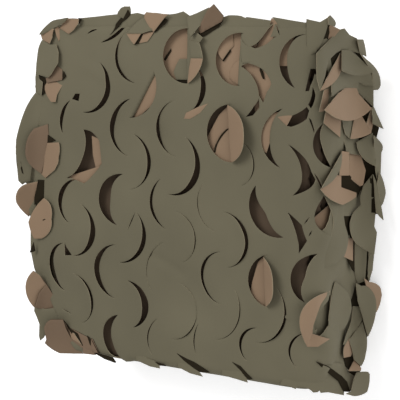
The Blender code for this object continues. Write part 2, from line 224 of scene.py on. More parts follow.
# narrow cuts of the face, in mm: the two ends, the width in the middle and the bow to one side
SLITS = (
    # s0, y0, s1, y1, width, bow
    (337, -154, 382, -181, 4.0, 4),
    (83, 162, 123, 190, 4.0, -5),
    (65, 171, 79, 176, 2.0, 1),
    (332, 139, 323, 116, 4.0, 0),
    (359, -84, 334, -129, 13.0, 3),
    (28, -134, 42, -138, 1.0, 1),
    (120, -36, 130, -15, 1.2, 0),
    (266, 158, 288, 185, 7.0, -5),
    (290, 180, 295, 169, 1.5, 0),
    (343, 15, 353, -27, 20.0, -5),
)

# soft creases of the face, in mm: a line, its width and its height
CREASES = (
    # s0, y0, s1, y1, width, height
    (150, -60, 185, -78, 5, -1.2),
    (60, 140, 100, 120, 6, 1.0),
)

# leaves of the inner layers: their lifts in degrees, used in turn, and how far from the middle line they lie
INNER_LIFTS = (-12, -7, -20, -9, -14, -5, -12, -16, -8, -11)
INNER_LEAF_HALF = (85 * MM, 165 * MM)

# sides that a separate leaf may show, and the first material slot that its cloth takes. The shaded side is
# painted
# shade: the brown darkened for leaves that lie in shade. The deep side is near-black painted shade, laid in
# the gaps, in recesses and under leaves where shadow falls; it also colours the rims of shaded leaves
OLIVE = "olive"
BROWN = "brown"
SHADED = "shaded"
PAINTED_SHADE = "deep"
SIDE_SLOTS = {OLIVE: 0, BROWN: 0, SHADED: 3, PAINTED_SHADE: 5}

# the camera's frame is this many steps across and down; the blur and the leaf spacing are in such steps
FRAME = 400
SEEN_SPACING = 6 * MM
SEEN_BLUR = 4.0
LEAF_SPACING = 3.0

# openings of the face as the viewer sees them: corners in turn as (across, down, bow of the side that
# follows), where a straight side has no bow
OPENINGS = (
    ((287.5, 144, 1), (303.5, 156.7, 1), (311.1, 171.4), (315.3, 179.5, 1.5), (307.3, 189.9, 0.6),
     (292.6, 195.6, -3), (302.2, 175.2, -3.4)),
    ((287.3, 211.9, 0.5), (301.8, 225.2, -0.5), (307, 241), (298.8, 253.8, -0.8), (297.5, 239, -1.2)),
    ((271.5, 20.6), (275.5, 21, 0.5), (277, 28, 0.5), (274.2, 35.7, 0.5), (266.6, 44, 0.5), (255, 48.5),
     (250.6, 46.6, -0.8), (260.8, 39.5, -0.8)),
    ((241.1, 66.4, 0.5), (248.2, 63.2, 0.6), (261.5, 68.5, 1.6), (271.5, 84, 0.5), (267.1, 91.7),
     (263.2, 102.9), (258.7, 95.2, -0.3), (257.3, 86.8, -2.5)),
    ((259, 97.5), (259.5, 107.8), (253, 115.5), (245.4, 117, -0.6), (253.8, 106, -0.8)),
    ((310.3, 68.9, 0.3), (315.8, 69.3), (316.2, 76), (313.6, 72.5), (309.2, 91.2), (305.4, 91)),
    ((292.4, 115.5, -1), (306.8, 106.8), (309.2, 110.6), (306.8, 119, 1), (291, 126.8), (286.8, 126)),
    ((312.7, 86.8, 0.3), (315.5, 95.2, 0.3), (314.1, 102.2, 0.3), (311, 108.5), (308.2, 104.6, -0.3),
     (311.7, 95.9)),
    ((308.6, 117.8), (311, 119.8), (314, 130), (313.6, 133.8)),
    ((313.7, 172.7), (317, 177, 0.3), (320.9, 187.3), (319.5, 187.3)),
    ((310.4, 215.8), (307.2, 221.4), (303.7, 224.6), (306.2, 220.2)),
    ((312.2, 230), (311, 234), (308.5, 236.8), (309.6, 233.4)),
    ((330.9, 291.3), (330, 301.6), (329, 316), (328, 326), (314.3, 330.3), (313.3, 325.7), (317.1, 312.5),
     (322, 303.5)),
    ((84, 129.5, 0.5), (92, 132, 0.5), (99.5, 141), (100.5, 150), (102, 163.5, 0.5), (92, 176, 0.5),
     (84, 183.5), (68.5, 176.5, -1), (81, 171, -1), (89.8, 156, -1)),
    ((75.1, 93.7), (80, 93.7), (78.8, 101.2), (72.2, 99.1)),
    ((64.7, 241.5), (66.4, 246.1), (72.2, 255.2), (65.5, 255.2)),
)

# separate leaves as the viewer sees them: height above the net at the middle in mm, the side that shows, the
# corners in turn as for the openings, then the height's rise per step to the right and down where it has one.
# Rows with the deep side are painted shade, near-black sheets in the gaps and behind the leaves, and rows
# with the shaded side are leaves with painted shade.
RIGHT_LEAVES = (
    (5, OLIVE, ((306.5, 19), (320, 22), (328.5, 17), (327.7, 25, 1.5), (315.8, 52.5),
     (307, 56)), 0.3, -0.1),
    (5, OLIVE, ((328, 17), (330, 15.2, 0.5), (333, 18.3, 0.5), (335.8, 23.5), (334.8, 26.5),
     (328, 24.5)), -1.5, 0),
    (1.5, BROWN, ((330, 24.5), (340, 29.5), (325.3, 48), (325, 40)), 0.5, 0),
    (1, PAINTED_SHADE, ((327.5, 24), (331, 25), (326, 47), (315, 54))),
    (8, OLIVE, ((316.5, 53), (338.2, 30.8, 0.5), (344.5, 28.4), (349.4, 34.7), (357.1, 38.6), (359.7, 53.2),
     (350, 51), (341.6, 50.2, -0.5), (334.8, 54), (328, 61), (324.9, 76.4), (320, 91),
     (316.7, 78)), -0.1, 0.3),
    (3, PAINTED_SHADE, ((341.6, 50), (342.5, 66), (333, 84), (319.7, 91), (324.5, 76), (327.5, 61))),
    (13, BROWN, ((340.8, 51.9, 9.5), (319.7, 91.1)), -0.6, 0.1),
    (12, OLIVE, ((341.6, 50), (349.4, 49.5), (358.8, 57.5), (373.5, 71.7, 4.5), (341.6, 70.4)), -0.15, 0.5),
    (7, OLIVE, ((341.6, 64), (370, 67), (373.4, 85.7), (364.9, 85.5), (358.5, 82), (357.8, 88.8),
     (346, 88.5), (338.2, 91.2), (331.5, 97), (331.3, 86)), -0.1, 0.3),
    (5, OLIVE, ((358, 81), (373.5, 84), (373.5, 107), (357, 91)), 0, 0.3),
    (14, BROWN, ((338.2, 93.2), (345, 88), (356.3, 88), (358.8, 94.5), (371.8, 108.7, 11.5),
     (324.4, 110)), -0.2, 0.5),
    (6, PAINTED_SHADE, ((331.3, 96.5), (339, 91.5), (338.2, 95), (333, 102))),
    (3, OLIVE, ((357.1, 39.4), (363.1, 39.4, 0.5), (366.2, 56.6), (359.7, 53.2)), -2, 0),
    (3, OLIVE, ((359.7, 53), (366.2, 59.2, 0.5), (376, 68.7, 1), (380.4, 82.5, 1), (377.8, 89.8),
     (373.5, 90.2), (372, 72)), -2, 0),
    (2, OLIVE, ((373, 105.5), (383.4, 128.9), (372.6, 123.8), (371.8, 110.9)), -1.5, 0),
    (2, BROWN, ((371.5, 107), (373, 123.5), (370.9, 132.5), (365.7, 125.7)), -1.5, 0),
    (4, BROWN, ((324, 90), (333, 87), (331, 100), (325, 111), (319, 112)), -0.8, 0),
    (7, BROWN, ((326, 110), (340.8, 118), (339.9, 137.5), (323.5, 123)), -0.3, 0),
    (8, OLIVE, ((340.8, 117), (356, 117), (350.2, 139), (345, 134)), 0, 0.4),
    (10, BROWN, ((354, 117), (362.3, 117), (371.5, 133, 1.5), (350.2, 139)), -0.1, 0.4),
    (5, OLIVE, ((343, 136), (351, 138), (358, 137), (360.5, 155.5), (346.5, 153)), 0, 0.3),
    (12, OLIVE, ((356.3, 142), (372.6, 133), (376, 166.3, 3.5), (357, 147)), -0.1, 0.4),
    (3, OLIVE, ((373.5, 135.2, 0.5), (382, 144.6, 1), (381.2, 152.4), (380.4, 173), (377.3, 184),
     (374, 160)), -2, 0),
    (3, OLIVE, ((379.5, 172, 0.5), (384.7, 187, 1), (384.2, 198.8, 0.5), (381.2, 206), (377, 183)), -2, 0),
    (15, OLIVE, ((341.6, 152.8, 7), (321.4, 188.5)), -0.5, 0),
    (9, BROWN, ((341.6, 151), (349, 152), (348.5, 175.5), (339, 175.5))),
    (6, BROWN, ((349.4, 154), (360.6, 155), (365.7, 170.4), (363.1, 185), (359.7, 186.3),
     (347.7, 176.5)), 0.4, 0.1),
    (4, PAINTED_SHADE, ((340, 174), (349, 175), (362, 186.8), (357, 198), (341.6, 189))),
    (12, BROWN, ((331, 174), (341, 175.6), (341, 187.2), (356.3, 192.8), (355.8, 197, 0.5),
     (342.5, 204.9, 2.5), (320.5, 189.4)), -0.2, 0.4),
    (7, OLIVE, ((343.5, 199), (356.8, 194), (356, 207), (350, 216), (343.4, 216)), 0, 0.2),
    (8.5, BROWN, ((346, 238), (352.7, 238), (352.7, 261), (343, 256.5))),
    (7, PAINTED_SHADE, ((340, 214), (352, 216), (354, 243), (354.5, 272), (352.4, 270), (344, 252))),
    (13, OLIVE, ((372.6, 173.9), (371.6, 181), (371.2, 197), (374.2, 197.5), (371.4, 199), (371.2, 212.5),
     (375.5, 213), (374.3, 226.4), (376.9, 232.4), (374.3, 254.4, 1), (355.4, 242.7, 0.5), (351, 234, 0.5),
     (349.8, 223, 0.5), (353.7, 211.8), (360.6, 204.9), (360.1, 197), (363.1, 186)), -0.1, 0.2),
    (13, OLIVE, ((372.8, 173.9), (377, 183.4), (381.2, 206), (383.4, 220.4), (376, 212.6), (374.8, 198),
     (374, 185)), -0.3, 0.2),
    (7, PAINTED_SHADE, ((370, 178), (376, 180), (377.5, 214), (370, 214))),
    (5, OLIVE, ((354.8, 240), (367, 250), (366.5, 262), (365, 281), (357, 284), (354.5, 271)), 0.3, 0),
    (4, OLIVE, ((368.6, 252), (374, 253), (372.5, 270), (369, 281.5), (367.5, 276)), -0.5, 0),
    (1.5, PAINTED_SHADE, ((364, 250), (371, 253), (370, 280), (363, 284))),
    (12, OLIVE, ((355.7, 282.8), (361.5, 286, 1), (368.7, 287.4, 1.5), (376.1, 301.3, 0.5),
     (375.6, 314.3, 1), (367.8, 336.9), (362.2, 316), (357.5, 300)), -0.3, 0.1),
    (2, BROWN, ((364.1, 278.1), (368.7, 281.9, 0.5), (376.1, 283.7, 1.5), (381.2, 292, 0.5),
     (381.2, 297.6, 0.8), (376.1, 312.4), (370, 300), (366, 287)), -1, 0),
    (2, PAINTED_SHADE, ((349.5, 290), (356, 282), (359, 300), (362, 310), (352, 307))),
    (6, OLIVE, ((353, 306), (361.3, 306.9), (362.2, 320), (356, 330), (345.6, 343.9), (343, 345),
     (346, 335), (351, 322)), 0.2, 0.1),
    (9, OLIVE, ((362.2, 321.7), (366.9, 338.3, 0.7), (365.5, 355, 0.7), (361.3, 366.1), (353.9, 359.6),
     (352, 350), (349, 340)), -0.2, 0.1),
    (8, BROWN, ((343.7, 357.8, 0.5), (343.7, 347.6, 0.5), (350, 337.5), (353, 350), (350.5, 356.5))),
    (3, PAINTED_SHADE, ((343.7, 357.8), (350.2, 354), (356, 359), (350, 371), (345.6, 366.1))),
    (10, BROWN, ((353.9, 360.1), (361.3, 368), (360.8, 370.9), (348.3, 371.2)), 0, 0.2),
    (8, OLIVE, ((356.7, 372.1, 0.3), (367.8, 371.7, 1), (369.6, 377.2, 0.7), (366.9, 392, 1),
     (354.8, 396.2), (345.6, 393.9), (351.1, 391.1), (353.9, 378.1)), -0.4, 0),
    (0.5, PAINTED_SHADE, ((350, 371), (358, 371), (353, 391), (348, 391))),
    (11, BROWN, ((329.8, 291.1), (320.6, 304.1), (316.9, 314.3), (313.1, 325.4), (312.2, 333.7),
     (307.1, 346.7, 18.5)), -0.4, 0),
    (5, BROWN, ((312.2, 333.7), (327, 338.3), (329.8, 338.8), (317.8, 346.7), (307.1, 346.7))),
    (-9, OLIVE, ((316, 296), (333, 290), (333, 340), (310, 336))),
    (-8, BROWN, ((312, 219), (330, 204), (334, 216), (334, 236), (322, 232))),
    (-8, PAINTED_SHADE, ((345, 40), (361, 45), (363, 57), (371, 69), (375, 80), (371.5, 92), (372.5, 104),
     (376, 116), (379, 128), (376, 140), (376, 160), (378, 176), (381, 188), (380, 200), (345, 200))),
    (-8, PAINTED_SHADE, ((350, 200), (379, 200), (377, 212), (370, 224), (372, 236), (371, 248), (368, 260),
     (366, 272), (370, 284), (376, 296), (373, 308), (370, 320), (368.5, 332), (365, 344), (364, 356),
     (360, 367), (360, 373), (345, 373), (350, 330))),
    (5, OLIVE, ((332.8, 203), (344.5, 200), (343.6, 216.5), (344.8, 225), (347.4, 233.4, 0.5),
     (348, 241, 0.5), (344.2, 255.8, 0.8), (332.4, 265, 0.5), (320.2, 268.6), (317.7, 255.3), (318, 240),
     (321, 232, 0.4), (325, 228.5), (328.5, 221)), 0.5, 0),
    (6, OLIVE, ((334.9, 281.5, 0.3), (345.8, 290.1, 0.8), (351, 303, 0.6), (350.5, 313, 0.8),
     (344.1, 328, 0.5), (329.8, 339.2), (328, 338.3), (328, 326.3), (328.6, 317.1), (330.5, 301.5),
     (332, 292)), 0.45, 0),
    (0.3, OLIVE, ((280, 384.6), (284, 376), (316.4, 363), (325.9, 369.6), (339.6, 380.2, 1), (343.8, 390.4),
     (343.8, 395.2), (328.5, 392.3), (320.8, 392.9), (319.5, 390.4), (317.6, 392.3), (313.2, 392.6, -1),
     (303.6, 387.2), (297.2, 386.6), (295.6, 389.1), (286.4, 385.3)), 0, 0.12),
    (1.2, OLIVE, ((318, 360), (345, 364), (347, 371.3), (354, 376), (350.8, 389.7), (348.2, 389.7),
     (344.6, 380.4, -0.6), (340.5, 376.2), (327, 367.2))),
    (2, PAINTED_SHADE, ((316, 361.6), (328, 366), (342, 376.5), (347, 382), (350, 392), (343.5, 391.5), (338.5, 381),
     (325, 370.5))),
)

# separate leaves of the left edge, given in the same way, with the same painted shade in the deep and shaded
# rows
LEFT_LEAVES = (
    (7, OLIVE, ((39, 34.5, 0.5), (48.1, 24.1, 0.8), (56.4, 19.5), (68.5, 17.6), (65, 22), (54.8, 28),
     (48.1, 31.5), (42, 34.5)), 0, -0.4),
    (4, BROWN, ((40.7, 34), (53.9, 28.7), (52.3, 37.4), (49.8, 43.6), (42.3, 39.4)), 0.5, 0),
    (2, BROWN, ((54.8, 28.7), (58.1, 26.6), (62.2, 31.6), (58.9, 41.5), (56.4, 35.7)), -0.8, 0),
    (5, BROWN, ((66.4, 18.3), (78.8, 18.7), (78.4, 23.3), (73.8, 29.9), (68.8, 34),
     (59.7, 28.2)), 0.2, -0.2),
    (4, PAINTED_SHADE, ((78.4, 17.7), (82, 18.7), (79.2, 24))),
    (5, OLIVE, ((42.3, 39.8), (50, 44.8), (56, 44), (58.5, 52), (58.1, 63), (53.9, 69.7, 0.5), (48.1, 77.6),
     (39, 74.7), (35.7, 76.3), (36.5, 63), (38.2, 49.8, 0.5)), 0.2, 0.1),
    (2, SHADED, ((57.4, 65.7), (62.5, 69.5), (62.6, 80), (47, 83), (45.9, 78.4), (50.4, 74.6)), -0.1, 0.1),
    (2, BROWN, ((61.5, 80.5), (66, 78), (62, 86), (57, 95), (55.6, 102), (51.4, 102, 0.5), (46, 93, 0.5),
     (45, 86), (47, 82.3)), -0.1, 0.2),
    (2.2, PAINTED_SHADE, ((63.5, 70.9), (66.1, 76.3), (62.2, 80.5))),
    (2, OLIVE, ((38.2, 78), (42.7, 82.1), (41.5, 95.4), (36.5, 92.1), (35.3, 86.3)), 0.5, 0),
    (1.4, PAINTED_SHADE, ((39, 75), (46, 78.4), (45, 92.9), (42.3, 95.4))),
    (4, SHADED, ((34, 128.6), (48.1, 124), (49, 136), (47, 150), (44, 163), (41.5, 173.5, 0.5),
     (30.2, 165, 2), (25.5, 148, 2)), -0.35, 0),
    (3, BROWN, ((47.5, 142.9), (58.9, 142.4, 0.5), (59.5, 153), (58.1, 163.2), (54.8, 169.8), (45.6, 178.1),
     (40.5, 173.1), (44, 159)), 0.1, 0),
    (1.6, PAINTED_SHADE, ((48, 134.8), (55.6, 140.4), (47.5, 143.5))),
    (1, PAINTED_SHADE, ((17.4, 149.9), (20.6, 160), (23.6, 174), (22, 173), (18.6, 161))),
    (0.5, OLIVE, ((37, 91), (44, 96), (40, 120), (34, 150), (30, 181), (24.9, 183), (22.4, 184.7),
     (18.3, 180.6), (15.7, 153), (16, 140, 0.7), (24.5, 111, 1)), -0.07, 0),
    (3, BROWN, ((26.6, 183.9), (37.8, 181.4), (34.9, 196.3), (35.7, 203.8), (29, 216.7, 1),
     (16.5, 203, 1.5), (18, 190, 1)), -0.5, -0.3),
    (1, PAINTED_SHADE, ((38, 179.8), (44.3, 180), (43.5, 198), (34.5, 205), (34.5, 198))),
    (4, BROWN, ((44, 198, 0.7), (50.5, 205, 1), (51.4, 219, 1), (49.8, 231.2, 1), (41.5, 238.6),
     (34, 238.6, 0.7), (28.4, 222, 2)), 0.1, -0.1),
    (4.6, PAINTED_SHADE, ((42.7, 219.8), (51.4, 215.2), (51.6, 217), (43, 220.6))),
    (-1, OLIVE, ((27, 203), (36, 198), (36, 215), (31, 219))),
    (1, PAINTED_SHADE, ((33.6, 241.9), (35.3, 251.1), (29.5, 252.7))),
    (-5, PAINTED_SHADE, ((46, 252), (57, 252), (57, 278), (46, 278))),
    (3, BROWN, ((33.3, 270.7), (40.2, 275.7), (45.5, 284.8), (38.7, 293.3), (34.5, 307.4, 2),
     (25.6, 289, 2.5)), 0.2, -0.4),
    (2.5, SHADED, ((40.2, 275.7, 0.3), (52.4, 293.3, 0.5), (57.8, 307.8), (54, 311.6), (34.5, 307.4),
     (38.7, 293.3), (45.5, 284.8)), -0.5, -0.3),
    (0.8, OLIVE, ((34.5, 306.5), (45, 309), (55, 308), (62, 318), (52, 323), (44, 337.6), (40.2, 340.7),
     (39, 336.1), (39.4, 323.9), (36.4, 316.2), (34.1, 310.9)), -0.1, 0),
    (4, SHADED, ((50.9, 319.3), (63.1, 319.3), (66.2, 328.5), (71.6, 339.2), (80.7, 347.6), (83, 353.7),
     (60.1, 353.3, 1), (44.8, 343), (46.3, 339.2), (44, 328.5, 1.5)), -0.2, -0.5),
    (1, SHADED, ((63, 320), (70, 327.7), (86.1, 336.1), (93, 339.2), (99.9, 353.7), (82.3, 348),
     (71.6, 340), (66, 331.5))),
    (2, BROWN, ((67.7, 331.5), (73.9, 333), (81.5, 344.5), (71.6, 338.4)), 0.3, 0),
    (2, SHADED, ((87, 337), (91, 338.5), (98, 352.5), (94, 353)), 0.3, 0),
    (1, SHADED, ((83, 347), (92, 350.5), (96, 355), (83, 353.7))),
    (1, PAINTED_SHADE, ((91.5, 351.4), (99.9, 353.7), (112.9, 357.5), (116.3, 362.1), (115.2, 362.9), (104.5, 359))),
    (-3.5, BROWN, ((92, 136), (105, 141), (105, 163), (96, 168), (93, 155))),
    (-3.5, BROWN, ((66, 177), (82, 172), (100, 166), (99, 178), (84, 187))),
    (0.2, OLIVE, ((136, 360), (136, 354), (155, 361), (159.4, 365.6), (160, 368.6), (150, 366.5)), 0, 0.15),
    (0.2, OLIVE, ((178, 367), (178, 361), (190, 365), (199.5, 372), (203, 376.8), (190, 373.3)), 0, 0.15),
    (0.2, OLIVE, ((222, 375), (222, 369), (240, 371), (246, 378), (247.8, 382.6), (236, 379)), 0, 0.15),
    (0.5, PAINTED_SHADE, ((155, 361.8), (163.7, 364), (167, 366.3), (159.4, 365.6))),
    (0.5, PAINTED_SHADE, ((176.7, 353.1), (187, 358.7), (194, 361.8), (202, 367), (210, 372.5), (199.5, 372),
     (193, 367.5), (184, 360.5))),
    (0.5, PAINTED_SHADE, ((232, 361.8), (240.7, 366.1), (247.2, 373.7), (252.6, 379.1), (248.3, 379.7),
     (240.7, 370.5))),
    (1.6, PAINTED_SHADE, ((64, 320.5), (70, 328), (78, 333.5), (83, 346), (72, 334))),
    (1.6, PAINTED_SHADE, ((87, 335.5), (91, 339), (99.5, 353.5), (90, 344.5))),
)

# separate leaves of the top edge and of the openings near it, given in the same way; the deep rows here are
# painted shadows, such as those under the curled leaf and under the fold at the top middle
TOP_LEAVES = (
    (3, OLIVE, ((117.4, 15.5, 0.5), (118.7, 10.7, 0.8), (124.1, 6.4), (130.1, 6.4, 0.5), (130.8, 14.6),
     (124, 19)), -0.6, -0.3),
    (1.6, PAINTED_SHADE, ((128, 9.5), (130.6, 14.6, 0.5), (122, 22), (118, 27.5), (110, 34.9, -1), (116, 24))),
    (6, BROWN, ((144.5, 14.4), (146.5, 12.1), (168.3, 14.4), (164.3, 18.1), (153.5, 32.2, 0.5),
     (144.5, 18.1)), 0, -0.2),
    (2, PAINTED_SHADE, ((163.6, 17.7), (167.9, 20.1), (166.3, 22.8), (154.9, 32.6), (152, 31.8))),
    (1.4, BROWN, ((143, 33.5), (154.5, 31.8), (147.5, 41.5), (138.5, 43.5))),
    (4, OLIVE, ((138, 21), (144.7, 17), (152.7, 30.3), (149, 31), (141.5, 33.6), (126.7, 33.5),
     (131, 28)), 0, 0.1),
    (4, BROWN, ((126.7, 33.5), (141.5, 33.5), (134.1, 44.5, 0.5)), 0, 0.1),
    (2, PAINTED_SHADE, ((140, 33.5), (143.5, 33), (138.8, 43.5), (133.6, 44.9))),
    (7, OLIVE, ((187, 17), (196.4, 13.4), (209.1, 7.4), (206.4, 16.7), (200.4, 25.5), (190.4, 37.5),
     (188.7, 30.1)), 0, 0.2),
    (9, SHADED, ((207.7, 9.4), (213.8, 4), (223.8, 16.1), (221.8, 21.4), (200.4, 33.5),
     (198.5, 28.1)), -0.2, -0.6),
    (1.6, PAINTED_SHADE, ((198, 33.5), (217.8, 24), (223.1, 20.4), (219, 27), (205, 36), (201.7, 37))),
    (5, OLIVE, ((190.4, 37.5), (196.4, 32.1), (202.8, 37.5), (199.1, 42.9), (190.4, 39.5)), 0.3, 0),
    (-8, BROWN, ((182, 25), (194, 33), (193, 60), (190, 86), (174, 84), (162, 70), (158, 58), (162, 42))),
    (-5, OLIVE, ((179.7, 58.9), (192, 58.9), (190, 79.7), (176.3, 79.7), (173.6, 72.3, 0.5)), -0.1, 0),
    (-6.5, PAINTED_SHADE, ((175.5, 79), (190, 79), (190, 85), (180, 84))),
    (-7, PAINTED_SHADE, ((171, 48.5), (171.4, 51), (165.4, 60.8), (164.3, 59))),
    (5, OLIVE, ((189, 39.5), (199.1, 42.5, 0.5), (202.8, 58.4), (191, 58.4, 0.5)), 0.5, 0),
    (5, BROWN, ((191, 58.3), (202.8, 58.5, 3), (187.7, 83.7), (189, 70.3)), 0.5, 0),
    (-8, BROWN, ((236, 28), (248, 30), (248, 60), (244, 88), (226, 84), (213, 66), (212, 50), (220, 37))),
    (-5, BROWN, ((233, 31), (234, 46), (229.8, 49.6), (222.5, 60, 0.5), (217, 50), (221, 40)), -0.3, 0),
    (-6.5, PAINTED_SHADE, ((230, 48.8), (231, 51.5), (223.4, 61.6), (221.5, 59))),
    (-5, BROWN, ((241, 59), (246, 72), (242, 88), (228, 78, 3)), 0.3, 0),
    (0.8, OLIVE, ((240.5, 39.5), (246, 45), (252.6, 48.2), (251.9, 62.3), (241.9, 63)), -0.2, 0),
    (-6, BROWN, ((238, 62), (254, 59), (268, 70), (275, 84), (270, 98), (256, 118), (252, 90)), 0.2, 0),
    (-3, PAINTED_SHADE, ((260.5, 66.5, 0.5), (264.5, 79), (263, 79), (259.5, 70))),
    (-4, BROWN, ((272, 18), (280, 20), (276, 42), (255, 50), (262, 36)), 0.2, 0),
    (-6, BROWN, ((282, 40), (294, 36), (293, 66), (278, 66), (277, 54))),
    (-4, BROWN, ((150, 66), (162, 76), (158, 100), (140, 116), (124, 122), (136, 92)), 0.1, 0),
    (0.4, OLIVE, ((80, 18.2), (98.7, 16.3), (106.4, 15.3), (117.4, 14.2), (122, 12), (129, 14), (129, 28),
     (80, 27)), 0, -0.12),
    (0.4, OLIVE, ((130.6, 14), (137.6, 12.8), (144.8, 14.7), (147, 20), (146, 28), (128, 28),
     (126, 20)), 0, -0.12),
    (0.4, OLIVE, ((165, 13.9), (170, 14.3), (176, 13.6), (183.5, 11.3), (189.5, 15.5), (190, 27),
     (160, 27)), 0, -0.12),
    (0.4, OLIVE, ((221, 19), (223.3, 17.2), (228.5, 15.3, 0.4), (241, 15.9), (245.5, 17.9), (246.8, 16.9),
     (271, 20.4), (269, 28), (222, 28)), 0, -0.12),
    (0.4, OLIVE, ((272.3, 16.9), (292, 20.4), (305.8, 22.6), (307.4, 19.1), (314.4, 21), (320, 22),
     (322, 29), (280, 30), (276.5, 22)), 0, -0.12),
    (0.4, BROWN, ((277.6, 116.9, 0.5), (292.4, 115.5), (286.8, 126))),
    (-6.5, BROWN, ((209, 134), (219, 115), (232, 102), (242, 126), (242, 165), (216, 165), (204, 150))),
    (-4, BROWN, ((238, 125), (244, 165), (216, 165), (214.5, 152, 0.8), (217.5, 142, 1),
     (226, 130.5, 0.5))),
    (-3.6, PAINTED_SHADE, ((236.5, 125.6), (227.5, 130.2, -0.5), (218.6, 142, -0.5), (215.6, 152.5),
     (214.2, 152, 0.8), (217, 142, 1), (226.5, 129.2, 0.4))),
    (-2.5, BROWN, ((260, 140), (262, 128), (270, 113), (280, 112), (272, 128), (269.7, 143), (266.5, 153),
     (261.5, 150))),
    (0.4, BROWN, ((184, 118.7), (186, 113), (198, 107), (208, 103.5), (200, 113), (190, 119))),
    (-5, BROWN, ((252, 283), (258, 262), (268, 252), (274, 280), (272, 306), (260, 306), (250, 296))),
)

OLIVE_COLOUR = (0.128, 0.114, 0.073)
BROWN_COLOUR = (0.235, 0.160, 0.101)
EDGE_COLOUR = (0.33, 0.28, 0.19)
# near-black painted shade: the colour of the sheets laid in shadowed gaps and recesses
PAINTED_SHADE_COLOUR = (0.020, 0.016, 0.010)
# painted shade: the brown darkened for leaves that lie in shade
SHADED_COLOUR = (0.155, 0.105, 0.067)
# painted shade of the inner layers: their olive and brown are darkened to this share
INSIDE_SHADE = 0.36
CLOTH_ROUGHNESS = 0.82
CLOTH_SHINE = 0.25
MOTTLE_TINT = 0.06
MOTTLE_SCALE = 9.0
MOTTLE_DETAIL = 3.0
MOTTLE_RANGE = (0.35, 0.65)
WEAVE_SCALE = 900.0
WEAVE_DETAIL = 2.0
WEAVE_STRENGTH = 0.15
WEAVE_DEPTH = 0.4 * MM

FLOOR_COLOUR = (0.95, 0.95, 0.95)
FLOOR_GLOW = 0.42
FLOOR_HALF = 6.0
FLOOR_Z = -0.5 * MM
SURROUND_STRENGTH = 0.5
LIGHT_TARGET = (0.0, 0.0, 60 * MM)
LIGHTS = (
    # name, place, size, watts
    ("key", (-0.7, 1.3, 2.0), 1.2, 32),
    ("fill", (1.6, -0.3, 1.6), 1.6, 15),
)

CAMERA_AZIMUTH = 29.5
CAMERA_RISE = 8.7
CAMERA_ROLL = -0.2
CAMERA_DISTANCE = 1.195
CAMERA_TARGET = (-5 * MM, -7.6 * MM, 61 * MM)
CAMERA_LENS = 99.0
SENSOR = 36.0

Leaf = namedtuple("Leaf", "s y radius half_angle direction gap lift skew", defaults=(0,))


# ---- the folded surface


def smooth(value, start, end):
    """Ease from 0 at start to 1 at end: 3 t squared minus 2 t cubed."""
    t = np.clip((value - start) / (end - start), 0.0, 1.0)
    return t * t * (3 - 2 * t)


def paired(x, y):
    """Points with two coordinates, from an array of each."""
    return np.stack([np.ravel(x), np.ravel(y)], axis=1)


def nearest(points, outline):
    """Distance of every point from the nearest point of an outline."""
    return np.linalg.norm(points[:, None] - outline[None], axis=2).min(axis=1)


def waves(table, a, b):
    """Sum of sines of a and b: height times sin(turn * (a along + b across) + phase)."""
    total = np.zeros(np.broadcast(a, b).shape)
    for height, along, across, phase in table:
        total = total + height * MM * np.sin(2 * np.pi * (along * a + across * b) + phase)
    return total


def layer_heights():
    """Heights of the inner runs: evenly spaced from the first to the last, plus a sine that is 0 at both."""
    index = np.arange(INNER_LAYERS)
    share = index / (INNER_LAYERS - 1)
    even = FIRST_INNER_Z + (LAST_INNER_Z - FIRST_INNER_Z) * share
    return even + LAYER_UNEVENNESS * np.sin(UNEVEN_TURN * index) * np.sin(np.pi * share)


def right_limit(z):
    """Furthest right that a bend reaches at height z: the wrap's inside with its two rolls."""
    front = FRONT_ROLL - WALL_CLEARANCE
    back = BACK_ROLL - WALL_CLEARANCE
    above = max(0.0, z - (TOP_RUN_Z - FRONT_ROLL))
    below = max(0.0, LOW_RUN_Z + BACK_ROLL - z)
    inset_front = front - np.sqrt(max(0.0, front**2 - above**2))
    inset_back = back - np.sqrt(max(0.0, back**2 - below**2))
    return FACE_RIGHT - WALL_CLEARANCE - inset_front - inset_back


def fold_rows():
    """Rows of (s, x, z, heading, curvature) for the fold's straight runs and round bends, and its length."""
    rows = []
    state = [0.0, FACE_LEFT, TOP_RUN_Z, 0.0]

    def run(length):
        """Go straight on."""
        rows.append((*state, 0.0))
        state[0] += length
        state[1] += length * np.cos(state[3])
        state[2] += length * np.sin(state[3])

    def bend(radius, turn):
        """Go round a circle's arc, to the left where the turn is positive."""
        curvature = np.sign(turn) / radius
        rows.append((*state, curvature))
        turned = state[3] + turn
        state[0] += radius * abs(turn)
        state[1] += (np.sin(turned) - np.sin(state[3])) / curvature
        state[2] += (np.cos(state[3]) - np.cos(turned)) / curvature
        state[3] = turned

    run(FACE_RIGHT - FRONT_ROLL - FACE_LEFT)
    bend(FRONT_ROLL, -QUARTER_TURN)
    run(TOP_RUN_Z - FRONT_ROLL - BACK_ROLL - LOW_RUN_Z)
    bend(BACK_ROLL, -QUARTER_TURN)
    heights = layer_heights()
    radius = (heights[0] - LOW_RUN_Z) / 2
    run(state[1] - LEFT_END - radius)
    bend(radius, -2 * QUARTER_TURN)
    for layer in range(INNER_LAYERS):
        last = layer == INNER_LAYERS - 1
        radius = LEFT_WANDER if last else (heights[layer + 1] - heights[layer]) / 2
        if layer % 2 == 0:
            run(min(right_limit(heights[layer]), right_limit(heights[layer + 1])) - radius - state[1])
            bend(radius, 2 * QUARTER_TURN)
        else:
            run(state[1] - LEFT_END - LEFT_WANDER * np.sin(WANDER_TURN * layer) - radius)
            if not last:
                bend(radius, -2 * QUARTER_TURN)
    return np.array(rows), state[0]


PATH, PATH_LENGTH = fold_rows()
ROLL_START, WALL_START, WALL_END, WRAP_END, BACK_END = PATH[1:6, 0]
FOLDS_MIDDLE = PATH[len(PATH) // 2, 0]
